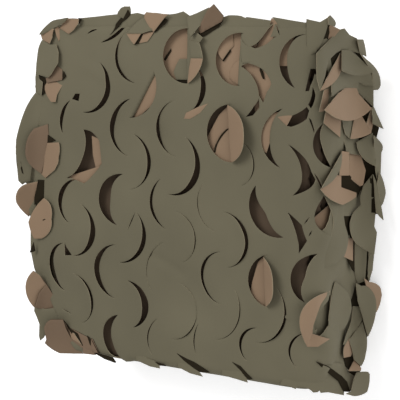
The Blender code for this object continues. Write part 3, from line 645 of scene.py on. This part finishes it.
# the three inner runs next to the face carry no leaves
LEAVES_END = PATH[-5, 0]


def section(s):
    """Point and heading of the fold at arc length s: a line on runs and a circle's arc on bends."""
    index = np.clip(np.searchsorted(PATH[:, 0], s, side="right") - 1, 0, len(PATH) - 1)
    start, x0, z0, heading, curvature = PATH[index].T
    along = s - start
    turned = heading + curvature * along
    bent = np.abs(curvature) > 0
    safe = np.where(bent, curvature, 1.0)
    x = x0 + np.where(bent, (np.sin(turned) - np.sin(heading)) / safe, along * np.cos(heading))
    z = z0 + np.where(bent, (np.cos(heading) - np.cos(turned)) / safe, along * np.sin(heading))
    return x, z, turned


def width_factor(s, lip):
    """Share of the flat half width that shows: all of it where the lips turn in, less on the inner runs."""
    inner = smooth(s, BACK_END - WIDTH_FADE, BACK_END)
    plain = (BACK_HALF + inner * (INNER_HALF - BACK_HALF)) / FLAT_HALF
    return lip + (1 - lip) * plain


def swell(x, y):
    """Height of the face at x, y: a sum of Gaussian humps, less a droop that eases in at three edges."""
    table = np.array(SWELLS) * MM
    dx = x[:, None] - table[:, 0]
    dy = y[:, None] - table[:, 1]
    humps = table[:, 3] * np.exp(-(dx**2 + dy**2) / table[:, 2] ** 2)
    at_left = smooth(-x, -FACE_LEFT - LEFT_DROOP[0], -FACE_LEFT + LEFT_DROOP[1])
    at_ends = smooth(np.abs(y), HALF_HEIGHT - END_DROOP[0], HALF_HEIGHT + END_DROOP[1])
    return humps.sum(axis=1) - EDGE_DROOP * (at_left + END_DROOP_SHARE * at_ends)


def crease_height(s, y):
    """Height of the creases at s, y: a Gaussian across each line, eased to nothing at its two ends."""
    total = np.zeros(len(s))
    for s0, y0, s1, y1, width, height in CREASES:
        along = np.array([s1 - s0, y1 - y0]) * MM
        length = np.hypot(*along)
        along = along / length
        ds = s - s0 * MM
        dy = y - y0 * MM
        forward = ds * along[0] + dy * along[1]
        across = dy * along[0] - ds * along[1]
        reach = width * MM
        ends = smooth(forward, -reach, reach) * smooth(-forward, -length - reach, -length + reach)
        total += height * MM * ends * np.exp(-((across / reach) ** 2))
    return total


def place(s, y):
    """Point of the folded cloth for flat coordinates s, y.

    The lip turns y about a small roll, the side bulge and the corner taper shift it sideways, and the
    swells and waves move it along the outward normal.
    """
    x, z, heading = section(s)
    wrap = smooth(-s, -BACK_END, -WRAP_END)
    lip = smooth(z, *LIP_FADE_Z) * (s < WRAP_END)
    flat_y = y * width_factor(s, lip)
    past = np.maximum(0.0, np.abs(flat_y) - LIP_START)
    turn = np.minimum(past / LIP_ROLL, QUARTER_TURN)
    straight = np.maximum(0.0, past - LIP_ROLL * QUARTER_TURN)
    rolled = np.minimum(np.abs(flat_y), LIP_START) + LIP_ROLL * np.sin(turn)
    depth = lip * (LIP_ROLL * (1 - np.cos(turn)) + straight)
    out_y = np.sign(flat_y) * (np.abs(flat_y) * (1 - lip) + rolled * lip)
    wall = smooth(s, ROLL_START, WALL_START) * smooth(-s, -WRAP_END, -WALL_END)
    outward = wrap * (waves(RIPPLES, s, y) + crease_height(s, y)) + wall * waves(WALL_WAVES, s, y) - depth
    x = x - outward * np.sin(heading)
    z = z + outward * np.cos(heading)
    share = z / TOP_RUN_Z
    taper = (1 - share) * smooth(x, TAPER_FROM, FACE_RIGHT) * smooth(out_y, 0, HALF_HEIGHT)
    bulge = np.cos(np.clip(out_y / HALF_HEIGHT, -1, 1) * QUARTER_TURN) - BULGE_MIDDLE
    left = smooth(-x, 0.0, -FACE_LEFT)
    out_x = x - SIDE_BULGE * bulge * left * smooth(share, 0.0, BULGE_FROM)
    loose = (1 - wrap) * smooth(np.abs(out_y), INNER_HALF / 2, INNER_HALF) * smooth(share, 0.0, BULGE_FROM)
    out_z = z + share * swell(x, out_y) + loose * waves(LAYER_WAVES, x + z, out_y)
    return np.stack([out_x, out_y * (1 - CORNER_TAPER * taper), out_z], axis=1)


def frame_at(s, y, back_s, back_y):
    """Point, forward step, sideways unit and outward unit: differences of place() over a small step."""
    point = place(s, y)
    ahead = (point - place(s - back_s * TANGENT_STEP, y - back_y * TANGENT_STEP)) / TANGENT_STEP
    across = point - place(s + back_y * TANGENT_STEP, y - back_s * TANGENT_STEP)
    normal = np.cross(ahead, across)
    normal /= np.linalg.norm(normal, axis=1)[:, None]
    sideways = np.cross(normal, ahead)
    sideways /= np.linalg.norm(sideways, axis=1)[:, None]
    return point, ahead, sideways, normal


# ---- cuts and leaves in the flat sheet


def leaf_rows(table):
    """Leaf tuples in metres and degrees from a table in mm."""
    sizes = np.array([MM, MM, MM, 1, 1, MM, 1, 1])
    return [Leaf(*(np.array(row) * sizes[: len(row)])) for row in table]


def pattern_leaves(s_range, y_range, lifts):
    """Repeated pairs of leaves within s_range, y_range[0] to y_range[1] off the middle, lifts in turn."""
    leaves = []
    straight = PATH[:, 4] == 0
    first, last = [int((s - FIRST_S) / COLUMN_PITCH) for s in s_range]
    rows = range(-1, int(2 * FLAT_HALF / ROW_PITCH) + 1)
    for column in range(first - 1, last + 2):
        for row in rows:
            s = FIRST_S + COLUMN_PITCH * column + ROW_DRIFT * row
            y = FIRST_Y - ROW_PITCH * row
            pair = ((s, y, 180.0), (s + PAIR_SHIFT[0], y + PAIR_SHIFT[1], PAIR_TURN))
            for side, (leaf_s, leaf_y, direction) in enumerate(pair):
                fits = s_range[0] + LEAF_RADIUS < leaf_s < s_range[1] - LEAF_RADIUS
                near = leaf_s + CHORD_REACH * np.array([-1, 0, 1])
                part = np.searchsorted(PATH[:, 0], near) - 1
                on_run = straight[part].all() and np.ptp(part) == 0
                if fits and on_run and y_range[0] <= abs(leaf_y) < y_range[1]:
                    lift = lifts[(column * len(rows) + row * 2 + side) % len(lifts)]
                    values = (leaf_s, leaf_y, LEAF_RADIUS, LEAF_HALF_ANGLE, direction, PLAIN_GAP, lift)
                    leaves.append(Leaf(*values))
    return leaves


def leaf_centre(leaf):
    """Centre of a leaf's arc in the flat sheet."""
    return np.array([leaf.s, leaf.y])


def leaf_axes(leaf):
    """Chord centre, outward direction and chord direction: centre + R cos(half angle) along the direction."""
    angle = np.radians(leaf.direction)
    out = np.array([np.cos(angle), np.sin(angle)])
    chord = leaf_centre(leaf) + out * leaf.radius * np.cos(np.radians(leaf.half_angle))
    return chord, out, np.array([-out[1], out[0]])


def leaf_outline(leaf, steps):
    """Edges of one cut on the cloth and on the leaf, with t from 0 to 1 along them.

    The cloth's edge has the leaf's radius. The leaf's own is less by gap times sin(pi u), where u is t to the
    power of 2 to the skew.
    """
    share = np.linspace(0, 1, steps + 1)
    angle = np.radians(leaf.direction + leaf.half_angle * (2 * share - 1))
    opening = leaf.gap * np.sin(np.pi * share ** (2.0**leaf.skew))
    ray = paired(np.cos(angle), np.sin(angle))
    centre = leaf_centre(leaf)
    return centre + ray * leaf.radius, centre + ray * (leaf.radius - opening)[:, None]


def inside(points, polygon):
    """True for the points inside a closed polygon, by counting crossings of a ray."""
    x, y = points[:, :1], points[:, 1:]
    x0, y0 = polygon.T
    x1, y1 = np.roll(polygon, -1, axis=0).T
    crosses = (y0 > y) != (y1 > y)
    rise = np.where(y1 == y0, 1.0, y1 - y0)
    left = x < (x1 - x0) * (y - y0) / rise + x0
    return (crosses & left).sum(axis=1) % 2 == 1


def leaf_points(leaf):
    """Points along the chord, and for tight leaves rows of points through the bend beyond it."""
    chord, out, along = leaf_axes(leaf)
    half_chord = leaf.radius * np.sin(np.radians(leaf.half_angle))
    count = max(2, int(2 * half_chord / CHORD_SPACING))
    across = half_chord * (2 * (np.arange(count) + 1) / (count + 1) - 1)
    rows = TIGHT_ROWS if abs(leaf.lift) > TIGHT_FROM else 1
    depth = TIGHT_BEND * np.arange(rows) / TIGHT_ROWS
    chain = chord + along * across[:, None]
    return (chain + out * depth[:, None, None]).reshape(-1, 2), count


def bent_leaf(points, leaf):
    """Places of a leaf's points.

    A leaf point at depth d beyond the chord goes forward by the mean of d cos(turn) and up by the mean of
    d sin(turn), where turn eases from 0 at the chord to the leaf's lift. Close to a lip the frame is that of
    the flat part next to it.
    """
    chord, out, along = leaf_axes(leaf)
    depth = (points - chord) @ out
    across = (points - chord) @ along
    reach = TIGHT_BEND if abs(leaf.lift) > TIGHT_FROM else EASY_BEND
    root = chord + across[:, None] * along
    stiff = root.copy()
    stiff[:, 1] = np.clip(root[:, 1], -LIP_START, LIP_START)
    blend = smooth(depth, 0.0, STIFF_REACH)[:, None]
    along_depth = (np.arange(TURN_SAMPLES) + 0.5) / TURN_SAMPLES * depth[:, None]
    turn = np.radians(leaf.lift * smooth(along_depth, 0.0, reach))
    forward = depth * np.cos(turn).mean(axis=1)
    upward = depth * np.sin(turn).mean(axis=1)
    places = []
    for base in (root, stiff):
        point, ahead, sideways, normal = frame_at(base[:, 0], base[:, 1], out[0], out[1])
        slip = ((root - base) @ along)[:, None]
        places.append(point + slip * sideways + forward[:, None] * ahead + upward[:, None] * normal)
    return places[0] * (1 - blend) + places[1] * blend


def slit_outline(row):
    """A thin lens along a line: half width times 1 - t squared on both sides of it, t from -1 to 1."""
    s0, y0, s1, y1, width, bow = np.array(row) * MM
    t = np.linspace(-1, 1, SLIT_STEPS + 1)
    along = np.array([s1 - s0, y1 - y0]) / 2
    across = np.array([-along[1], along[0]]) / np.hypot(*along)
    middle = np.array([s0 + s1, y0 + y1]) / 2 + t[:, None] * along + (bow * (1 - t**2))[:, None] * across
    side = (width / 2 * (1 - t**2))[:, None] * across
    return np.concatenate([middle + side, (middle - side)[-2:0:-1]])


def joined(points, edges):
    """Corners and triangles of the points joined up, every edge kept."""
    found = delaunay_2d_cdt([Vector(p) for p in points], edges, [], 0, SAME_POINT)
    return np.array([tuple(v) for v in found[0]]), np.array([tuple(t) for t in found[2]])


def cut_sheet(outline, grid, leaves, cuts, steps):
    """Flat corners and triangles of an outline with its cuts taken out, grid points filling the rest."""
    corners = [outline]
    loops = [(0, len(outline))]
    keep = inside(grid, outline)
    for leaf in leaves:
        cloth, blade = leaf_outline(leaf, steps)
        loop = np.concatenate([cloth, blade[-2:0:-1]])
        loops.append((sum(len(c) for c in corners), len(loop)))
        corners.append(loop)
        chord, out, along = leaf_axes(leaf)
        offset = grid - leaf_centre(leaf)
        close = np.hypot(*offset.T) < leaf.radius + POINT_CLEARANCE
        near = np.full(len(grid), np.inf)
        near[close] = nearest(grid[close], loop)
        depth = (grid - chord) @ out
        held_to = TIGHT_BEND if abs(leaf.lift) > TIGHT_FROM else 0.0
        across = np.abs((grid - chord) @ along) < leaf.radius
        held = close & across & (depth > -POINT_CLEARANCE) & (depth < held_to + POINT_CLEARANCE)
        gone = np.zeros(len(grid), bool)
        gone[close] = inside(grid[close], loop)
        keep &= (near > POINT_CLEARANCE) & ~held & ~gone
    for loop in cuts:
        loops.append((sum(len(c) for c in corners), len(loop)))
        corners.append(loop)
        keep &= (nearest(grid, loop) > POINT_CLEARANCE) & ~inside(grid, loop)
    corners.append(grid[keep])
    edges = [(a + k, a + (k + 1) % n) for a, n in loops for k in range(n)]
    for (start, _), leaf in zip(loops[1:], leaves):
        first = sum(len(c) for c in corners)
        points, chain_count = leaf_points(leaf)
        corners.append(points)
        chain = [start, *range(first, first + chain_count), start + steps]
        edges += list(zip(chain[:-1], chain[1:]))
    flat = np.concatenate(corners)
    vertices, triangles = joined(flat, edges)
    middle = vertices[triangles].mean(axis=1)
    gone = ~inside(middle, outline)
    for start, count in loops[1:]:
        loop = flat[start : start + count]
        low, high = loop.min(axis=0), loop.max(axis=0)
        boxed = ((middle > low) & (middle < high)).all(axis=1)
        gone[boxed] |= inside(middle[boxed], loop)
    triangles = triangles[~gone]
    used, index = np.unique(triangles, return_inverse=True)
    return vertices[used], index.reshape(-1, 3)


def fold_sheet(vertices, leaves):
    """Folded places of the flat corners: place() for the cloth and bent_leaf() beyond each chord."""
    folded = place(vertices[:, 0], vertices[:, 1])
    for leaf in leaves:
        chord, out, _ = leaf_axes(leaf)
        reach = np.linalg.norm(vertices - leaf_centre(leaf), axis=1)
        mine = (reach < leaf.radius - EDGE_TOLERANCE) & ((vertices - chord) @ out > EDGE_TOLERANCE)
        if mine.any():
            folded[mine] = bent_leaf(vertices[mine], leaf)
    return folded


def sheet_outline(s_start, s_end, spacing, side_wave, end_wave):
    """Closed outline of a strip from s_start to s_end, its four sides as points one spacing apart."""
    s_count = int(round((s_end - s_start) / spacing))
    y_count = int(round(2 * FLAT_HALF / spacing))
    s = np.linspace(s_start, s_end, s_count + 1)
    y = np.linspace(-FLAT_HALF, FLAT_HALF, y_count + 1)
    low = paired(s, side_wave(s) - FLAT_HALF)
    high = paired(s, FLAT_HALF - side_wave(s))[::-1]
    far = paired(np.full(len(y), s_end), y)[1:-1]
    near = paired(s_start + end_wave(y), y)[-2:0:-1]
    return np.concatenate([low, far, high, near])


def sheet_grid(s_start, s_end, spacing):
    """Staggered grid of points over a strip: every other row is half a spacing along."""
    s_count = int((s_end - s_start) / spacing)
    y_count = int(2 * FLAT_HALF / (spacing * ROW_SHARE))
    column, row = np.meshgrid(np.arange(1, s_count), np.arange(1, y_count))
    s = s_start + (column + (row % 2) / 2) * spacing
    y = -FLAT_HALF + row * spacing * ROW_SHARE
    grid = paired(s, y)
    return grid[(grid[:, 0] < s_end - spacing / 2) & (grid[:, 1] < FLAT_HALF - spacing / 2)]


# ---- pieces


def new_piece(name, vertices, faces, materials):
    """One cloth piece: a mesh from arrays, closed to the cloth's thickness and shaded smoothly."""
    data = bpy.data.meshes.new(name)
    places = np.asarray(vertices) + np.array(PACKET_SHIFT)
    corners = len(faces[0])
    data.vertices.add(len(places))
    data.vertices.foreach_set("co", places.astype(np.float32).ravel())
    data.loops.add(len(faces) * corners)
    data.loops.foreach_set("vertex_index", np.asarray(faces, np.int32).ravel())
    data.polygons.add(len(faces))
    data.polygons.foreach_set("loop_start", np.arange(0, len(faces) * corners, corners, dtype=np.int32))
    data.polygons.foreach_set("use_smooth", np.ones(len(faces), bool))
    data.update(calc_edges=True)
    data.validate()
    obj = bpy.data.objects.new(name, data)
    bpy.context.scene.collection.objects.link(obj)
    for material in materials:
        data.materials.append(material)
    solid = obj.modifiers.new("cloth", "SOLIDIFY")
    solid.thickness = CLOTH
    solid.offset = 0.0
    solid.material_offset = 1
    solid.material_offset_rim = 2
    shading = obj.modifiers.new("shading", "WEIGHTED_NORMAL")
    shading.keep_sharp = False
    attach(obj, "root")
    return obj


def strip_piece(name, s_start, s_end, spacing, leaves, cuts, materials, steps, side_wave, end_wave):
    """A cut and folded length of the net, from s_start to s_end."""
    outline = sheet_outline(s_start, s_end, spacing, side_wave, end_wave)
    grid = sheet_grid(min(s_start, outline[:, 0].min()), s_end, spacing)
    flat, triangles = cut_sheet(outline, grid, leaves, cuts, steps)
    return new_piece(name, fold_sheet(flat, leaves), triangles, materials)


# ---- separate leaves


def camera_axes():
    """Place of the camera and its unit steps right, up and back."""
    azimuth = np.radians(CAMERA_AZIMUTH)
    rise = np.radians(CAMERA_RISE)
    back = np.array([np.cos(rise) * np.sin(azimuth), np.sin(rise), np.cos(rise) * np.cos(azimuth)])
    right = np.cross([0.0, 1.0, 0.0], back)
    right /= np.linalg.norm(right)
    up = np.cross(back, right)
    roll = np.radians(CAMERA_ROLL)
    right, up = right * np.cos(roll) + up * np.sin(roll), up * np.cos(roll) - right * np.sin(roll)
    return np.array(CAMERA_TARGET) + back * CAMERA_DISTANCE, right, up, back


EYE, RIGHT, UP, BACK = camera_axes()


def seen_net():
    """Frame places (across, down), depths and flat places of points of the face, front roll and wall."""
    s, y = np.meshgrid(np.arange(0, WALL_END, SEEN_SPACING), np.arange(-LIP_START, LIP_START, SEEN_SPACING))
    flat = paired(s, y)
    offset = place(*flat.T) - EYE
    depth = -offset @ BACK
    steps = FRAME * CAMERA_LENS / SENSOR / depth
    seen = paired(FRAME / 2 + offset @ RIGHT * steps, FRAME / 2 - offset @ UP * steps)
    return seen, depth, flat


NET_SEEN, NET_DEPTH, NET_FLAT = seen_net()


def near_weights(seen):
    """Shares of the net's points at frame points.

    A point's weight is exp((least squared distance - its own squared distance) / (2 blur squared)), and the
    weights at one frame point are divided by their sum.
    """
    reach = ((seen[:, None] - NET_SEEN[None]) ** 2).sum(axis=2)
    weight = np.exp((reach.min(axis=1)[:, None] - reach) / (2 * SEEN_BLUR**2))
    return weight / weight.sum(axis=1)[:, None]


def lifted(seen, height):
    """Places on the rays through frame points, height nearer than the net's weighted mean depth there."""
    depth = near_weights(seen) @ NET_DEPTH - height
    steps = SENSOR / CAMERA_LENS / FRAME
    across = (seen[:, :1] - FRAME / 2) * steps * RIGHT
    down = (FRAME / 2 - seen[:, 1:]) * steps * UP
    return EYE + depth[:, None] * (across + down - BACK)


def bowed_outline(corners):
    """Closed outline through the corners: each side leaves its line by 4 bow t (1 - t), t from 0 to 1."""
    points = []
    for (x0, y0, *bow), (x1, y1, *_) in zip(corners, corners[1:] + corners[:1]):
        length = np.hypot(x1 - x0, y1 - y0)
        t = np.arange(0, 1, 1 / max(1, round(length / LEAF_SPACING)))
        out = 4 * sum(bow) * t * (1 - t) / length
        x = x0 + (x1 - x0) * t + (y1 - y0) * out
        y = y0 + (y1 - y0) * t - (x1 - x0) * out
        points.append(paired(x, y))
    return np.concatenate(points)


def seen_leaf(row):
    """Places and triangles of one leaf: its outline filled with an even grid, lifted off the net."""
    height, side, corners, *tilt = row
    outline = bowed_outline(corners)
    low, high = outline.min(axis=0), outline.max(axis=0)
    x, y = np.meshgrid(np.arange(low[0], high[0], LEAF_SPACING), np.arange(low[1], high[1], LEAF_SPACING))
    grid = paired(x, y)
    free = inside(grid, outline) & (nearest(grid, outline) > LEAF_SPACING / 2)
    flat = np.concatenate([outline, grid[free]])
    edges = [(k, (k + 1) % len(outline)) for k in range(len(outline))]
    seen, triangles = joined(flat * (1, -1), edges)
    seen = seen * (1, -1)
    triangles = triangles[inside(seen[triangles].mean(axis=1), outline)]
    middle = np.mean([corner[:2] for corner in corners], axis=0)
    rise = height + (seen - middle) @ np.array(tilt or (0, 0))
    return lifted(seen, rise * MM), triangles[:, ::-1] if side == BROWN else triangles


def separate_leaves(name, table, materials):
    """One piece of separate leaves, each with the material of its side."""
    places, triangles, slots, start = [], [], [], 0
    for row in table:
        points, found = seen_leaf(row)
        places.append(points)
        triangles.append(found + start)
        slots.append(np.full(len(found), SIDE_SLOTS[row[1]], np.int32))
        start += len(points)
    obj = new_piece(name, np.concatenate(places), np.concatenate(triangles), materials)
    obj.data.polygons.foreach_set("material_index", np.concatenate(slots))
    return obj


# ---- materials


def cloth_material(name, colour):
    """Matte woven cloth: a colour with a slow mottle, and a fine weave as bump."""
    material = bpy.data.materials.new(name)
    material.use_nodes = True
    nodes = material.node_tree.nodes
    links = material.node_tree.links
    shader = nodes["Principled BSDF"]
    shader.inputs["Roughness"].default_value = CLOTH_ROUGHNESS
    shader.inputs["Specular IOR Level"].default_value = CLOTH_SHINE
    coordinates = nodes.new("ShaderNodeTexCoord")

    def noise(scale, detail):
        """Noise over the object's own coordinates."""
        node = nodes.new("ShaderNodeTexNoise")
        node.inputs["Scale"].default_value = scale
        node.inputs["Detail"].default_value = detail
        links.new(coordinates.outputs["Object"], node.inputs["Vector"])
        return node

    mottle = noise(MOTTLE_SCALE, MOTTLE_DETAIL)
    ramp = nodes.new("ShaderNodeValToRGB")
    tints = (1 - MOTTLE_TINT, 1 + MOTTLE_TINT)
    for element, position, tint in zip(ramp.color_ramp.elements, MOTTLE_RANGE, tints):
        element.position = position
        element.color = (*(c * tint for c in colour), 1.0)
    links.new(mottle.outputs["Fac"], ramp.inputs["Fac"])
    links.new(ramp.outputs["Color"], shader.inputs["Base Color"])
    weave = noise(WEAVE_SCALE, WEAVE_DETAIL)
    bump = nodes.new("ShaderNodeBump")
    bump.inputs["Strength"].default_value = WEAVE_STRENGTH
    bump.inputs["Distance"].default_value = WEAVE_DEPTH
    links.new(weave.outputs["Fac"], bump.inputs["Height"])
    links.new(bump.outputs["Normal"], shader.inputs["Normal"])
    return material


def plain_material(name, colour, glow=0.0):
    """One matte colour, which also gives off a share of it."""
    material = bpy.data.materials.new(name)
    material.use_nodes = True
    shader = material.node_tree.nodes["Principled BSDF"]
    shader.inputs["Base Color"].default_value = (*colour, 1.0)
    shader.inputs["Roughness"].default_value = 1.0
    shader.inputs["Specular IOR Level"].default_value = 0.0
    shader.inputs["Emission Color"].default_value = (*colour, 1.0)
    shader.inputs["Emission Strength"].default_value = glow
    return material


# ---- floor, light and camera


def add_floor():
    """A large pale floor just under the packet."""
    data = bpy.data.meshes.new("floor")
    corners = [(x * FLOOR_HALF, y * FLOOR_HALF, FLOOR_Z) for x, y in ((-1, -1), (1, -1), (1, 1), (-1, 1))]
    data.from_pydata(corners, [], [(0, 1, 2, 3)])
    floor = bpy.data.objects.new("floor", data)
    bpy.context.scene.collection.objects.link(floor)
    data.materials.append(plain_material("floor_white", FLOOR_COLOUR, FLOOR_GLOW))


def add_light(name, place, size, watts):
    """A square soft light at a place, facing the middle of the packet."""
    data = bpy.data.lights.new(name, "AREA")
    data.shape = "SQUARE"
    data.size = size
    data.energy = watts
    light = bpy.data.objects.new(name, data)
    light.location = place
    light.rotation_euler = (Vector(LIGHT_TARGET) - Vector(place)).to_track_quat("-Z", "Y").to_euler()
    bpy.context.scene.collection.objects.link(light)


def add_world(strength):
    """An even white surround."""
    world = bpy.data.worlds.new("surround")
    world.use_nodes = True
    background = world.node_tree.nodes["Background"]
    background.inputs["Color"].default_value = (1.0, 1.0, 1.0, 1.0)
    background.inputs["Strength"].default_value = strength
    bpy.context.scene.world = world


def add_camera():
    """A long lens that looks at the face from its right and a little above its middle."""
    data = bpy.data.cameras.new("camera")
    data.lens = CAMERA_LENS
    data.sensor_width = SENSOR
    camera = bpy.data.objects.new("camera", data)
    matrix = camera.matrix_world.copy()
    for column, axis in enumerate((RIGHT, UP, BACK, EYE + np.array(PACKET_SHIFT))):
        for row in range(3):
            matrix[row][column] = axis[row]
    camera.matrix_world = matrix
    bpy.context.scene.collection.objects.link(camera)
    bpy.context.scene.camera = camera


# ---- the net


def no_wave(s):
    """A straight side."""
    return np.zeros(len(s))


def left_end(y):
    """The left end of the face, which stands out and draws in: its table, joined by straight lines."""
    across, reach = np.array(LEFT_OUTLINE).T * MM
    return np.interp(y, across, reach)


def loose_wave(s):
    """A side that goes in and out a little as the sheet's leaves do."""
    return LOOSE_SIDE * (1 + np.sin(2 * np.pi * s / LOOSE_LENGTH))


def main():
    """Build every piece, and set the floor, the light and the camera."""
    edge = plain_material("cut_edge", EDGE_COLOUR)
    # the shaded brown is painted shade, taken by leaves that lie in shade
    shaded = cloth_material("shaded_brown", SHADED_COLOUR)
    materials = (
        cloth_material("olive_outer", OLIVE_COLOUR),
        cloth_material("brown_inner", BROWN_COLOUR),
        edge,
        shaded,
        shaded,
        # near-black painted shade for the gaps and recesses, and for the rims of shaded leaves
        plain_material("painted_shade_brown", PAINTED_SHADE_COLOUR),
    )
    # the inner layers' olive and brown are darkened as painted shade
    inner_cloth = (
        cloth_material("olive_inside_painted_shade", [c * INSIDE_SHADE for c in OLIVE_COLOUR]),
        cloth_material("brown_inside_painted_shade", [c * INSIDE_SHADE for c in BROWN_COLOUR]),
        edge,
    )
    face = leaf_rows(FACE_LEAVES)
    cuts = [slit_outline(row) for row in SLITS]
    cuts += [near_weights(bowed_outline(corners)) @ NET_FLAT for corners in OPENINGS]
    wrap = strip_piece(
        "net_wrap", 0.0, BACK_END, FACE_SPACING, face, cuts, materials, ARC_STEPS, no_wave, left_end
    )
    lengths = (
        ("net_folds_lower", BACK_END, FOLDS_MIDDLE),
        ("net_folds_upper", FOLDS_MIDDLE, PATH_LENGTH),
    )
    for name, start, end in lengths:
        leaves = pattern_leaves((start, min(end, LEAVES_END)), INNER_LEAF_HALF, INNER_LIFTS)
        folds = strip_piece(
            name, start, end, INNER_SPACING, leaves, (), inner_cloth, PLAIN_ARC_STEPS, loose_wave, no_wave
        )
    tables = {"right_leaves": RIGHT_LEAVES, "left_leaves": LEFT_LEAVES, "top_leaves": TOP_LEAVES}
    for name, table in tables.items():
        leaves = separate_leaves(name, table, materials)
    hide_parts("net_sheet")
    add_floor()
    add_world(SURROUND_STRENGTH)
    for light in LIGHTS:
        add_light(*light)
    add_camera()
    bpy.context.scene.view_settings.view_transform = "Standard"


main()
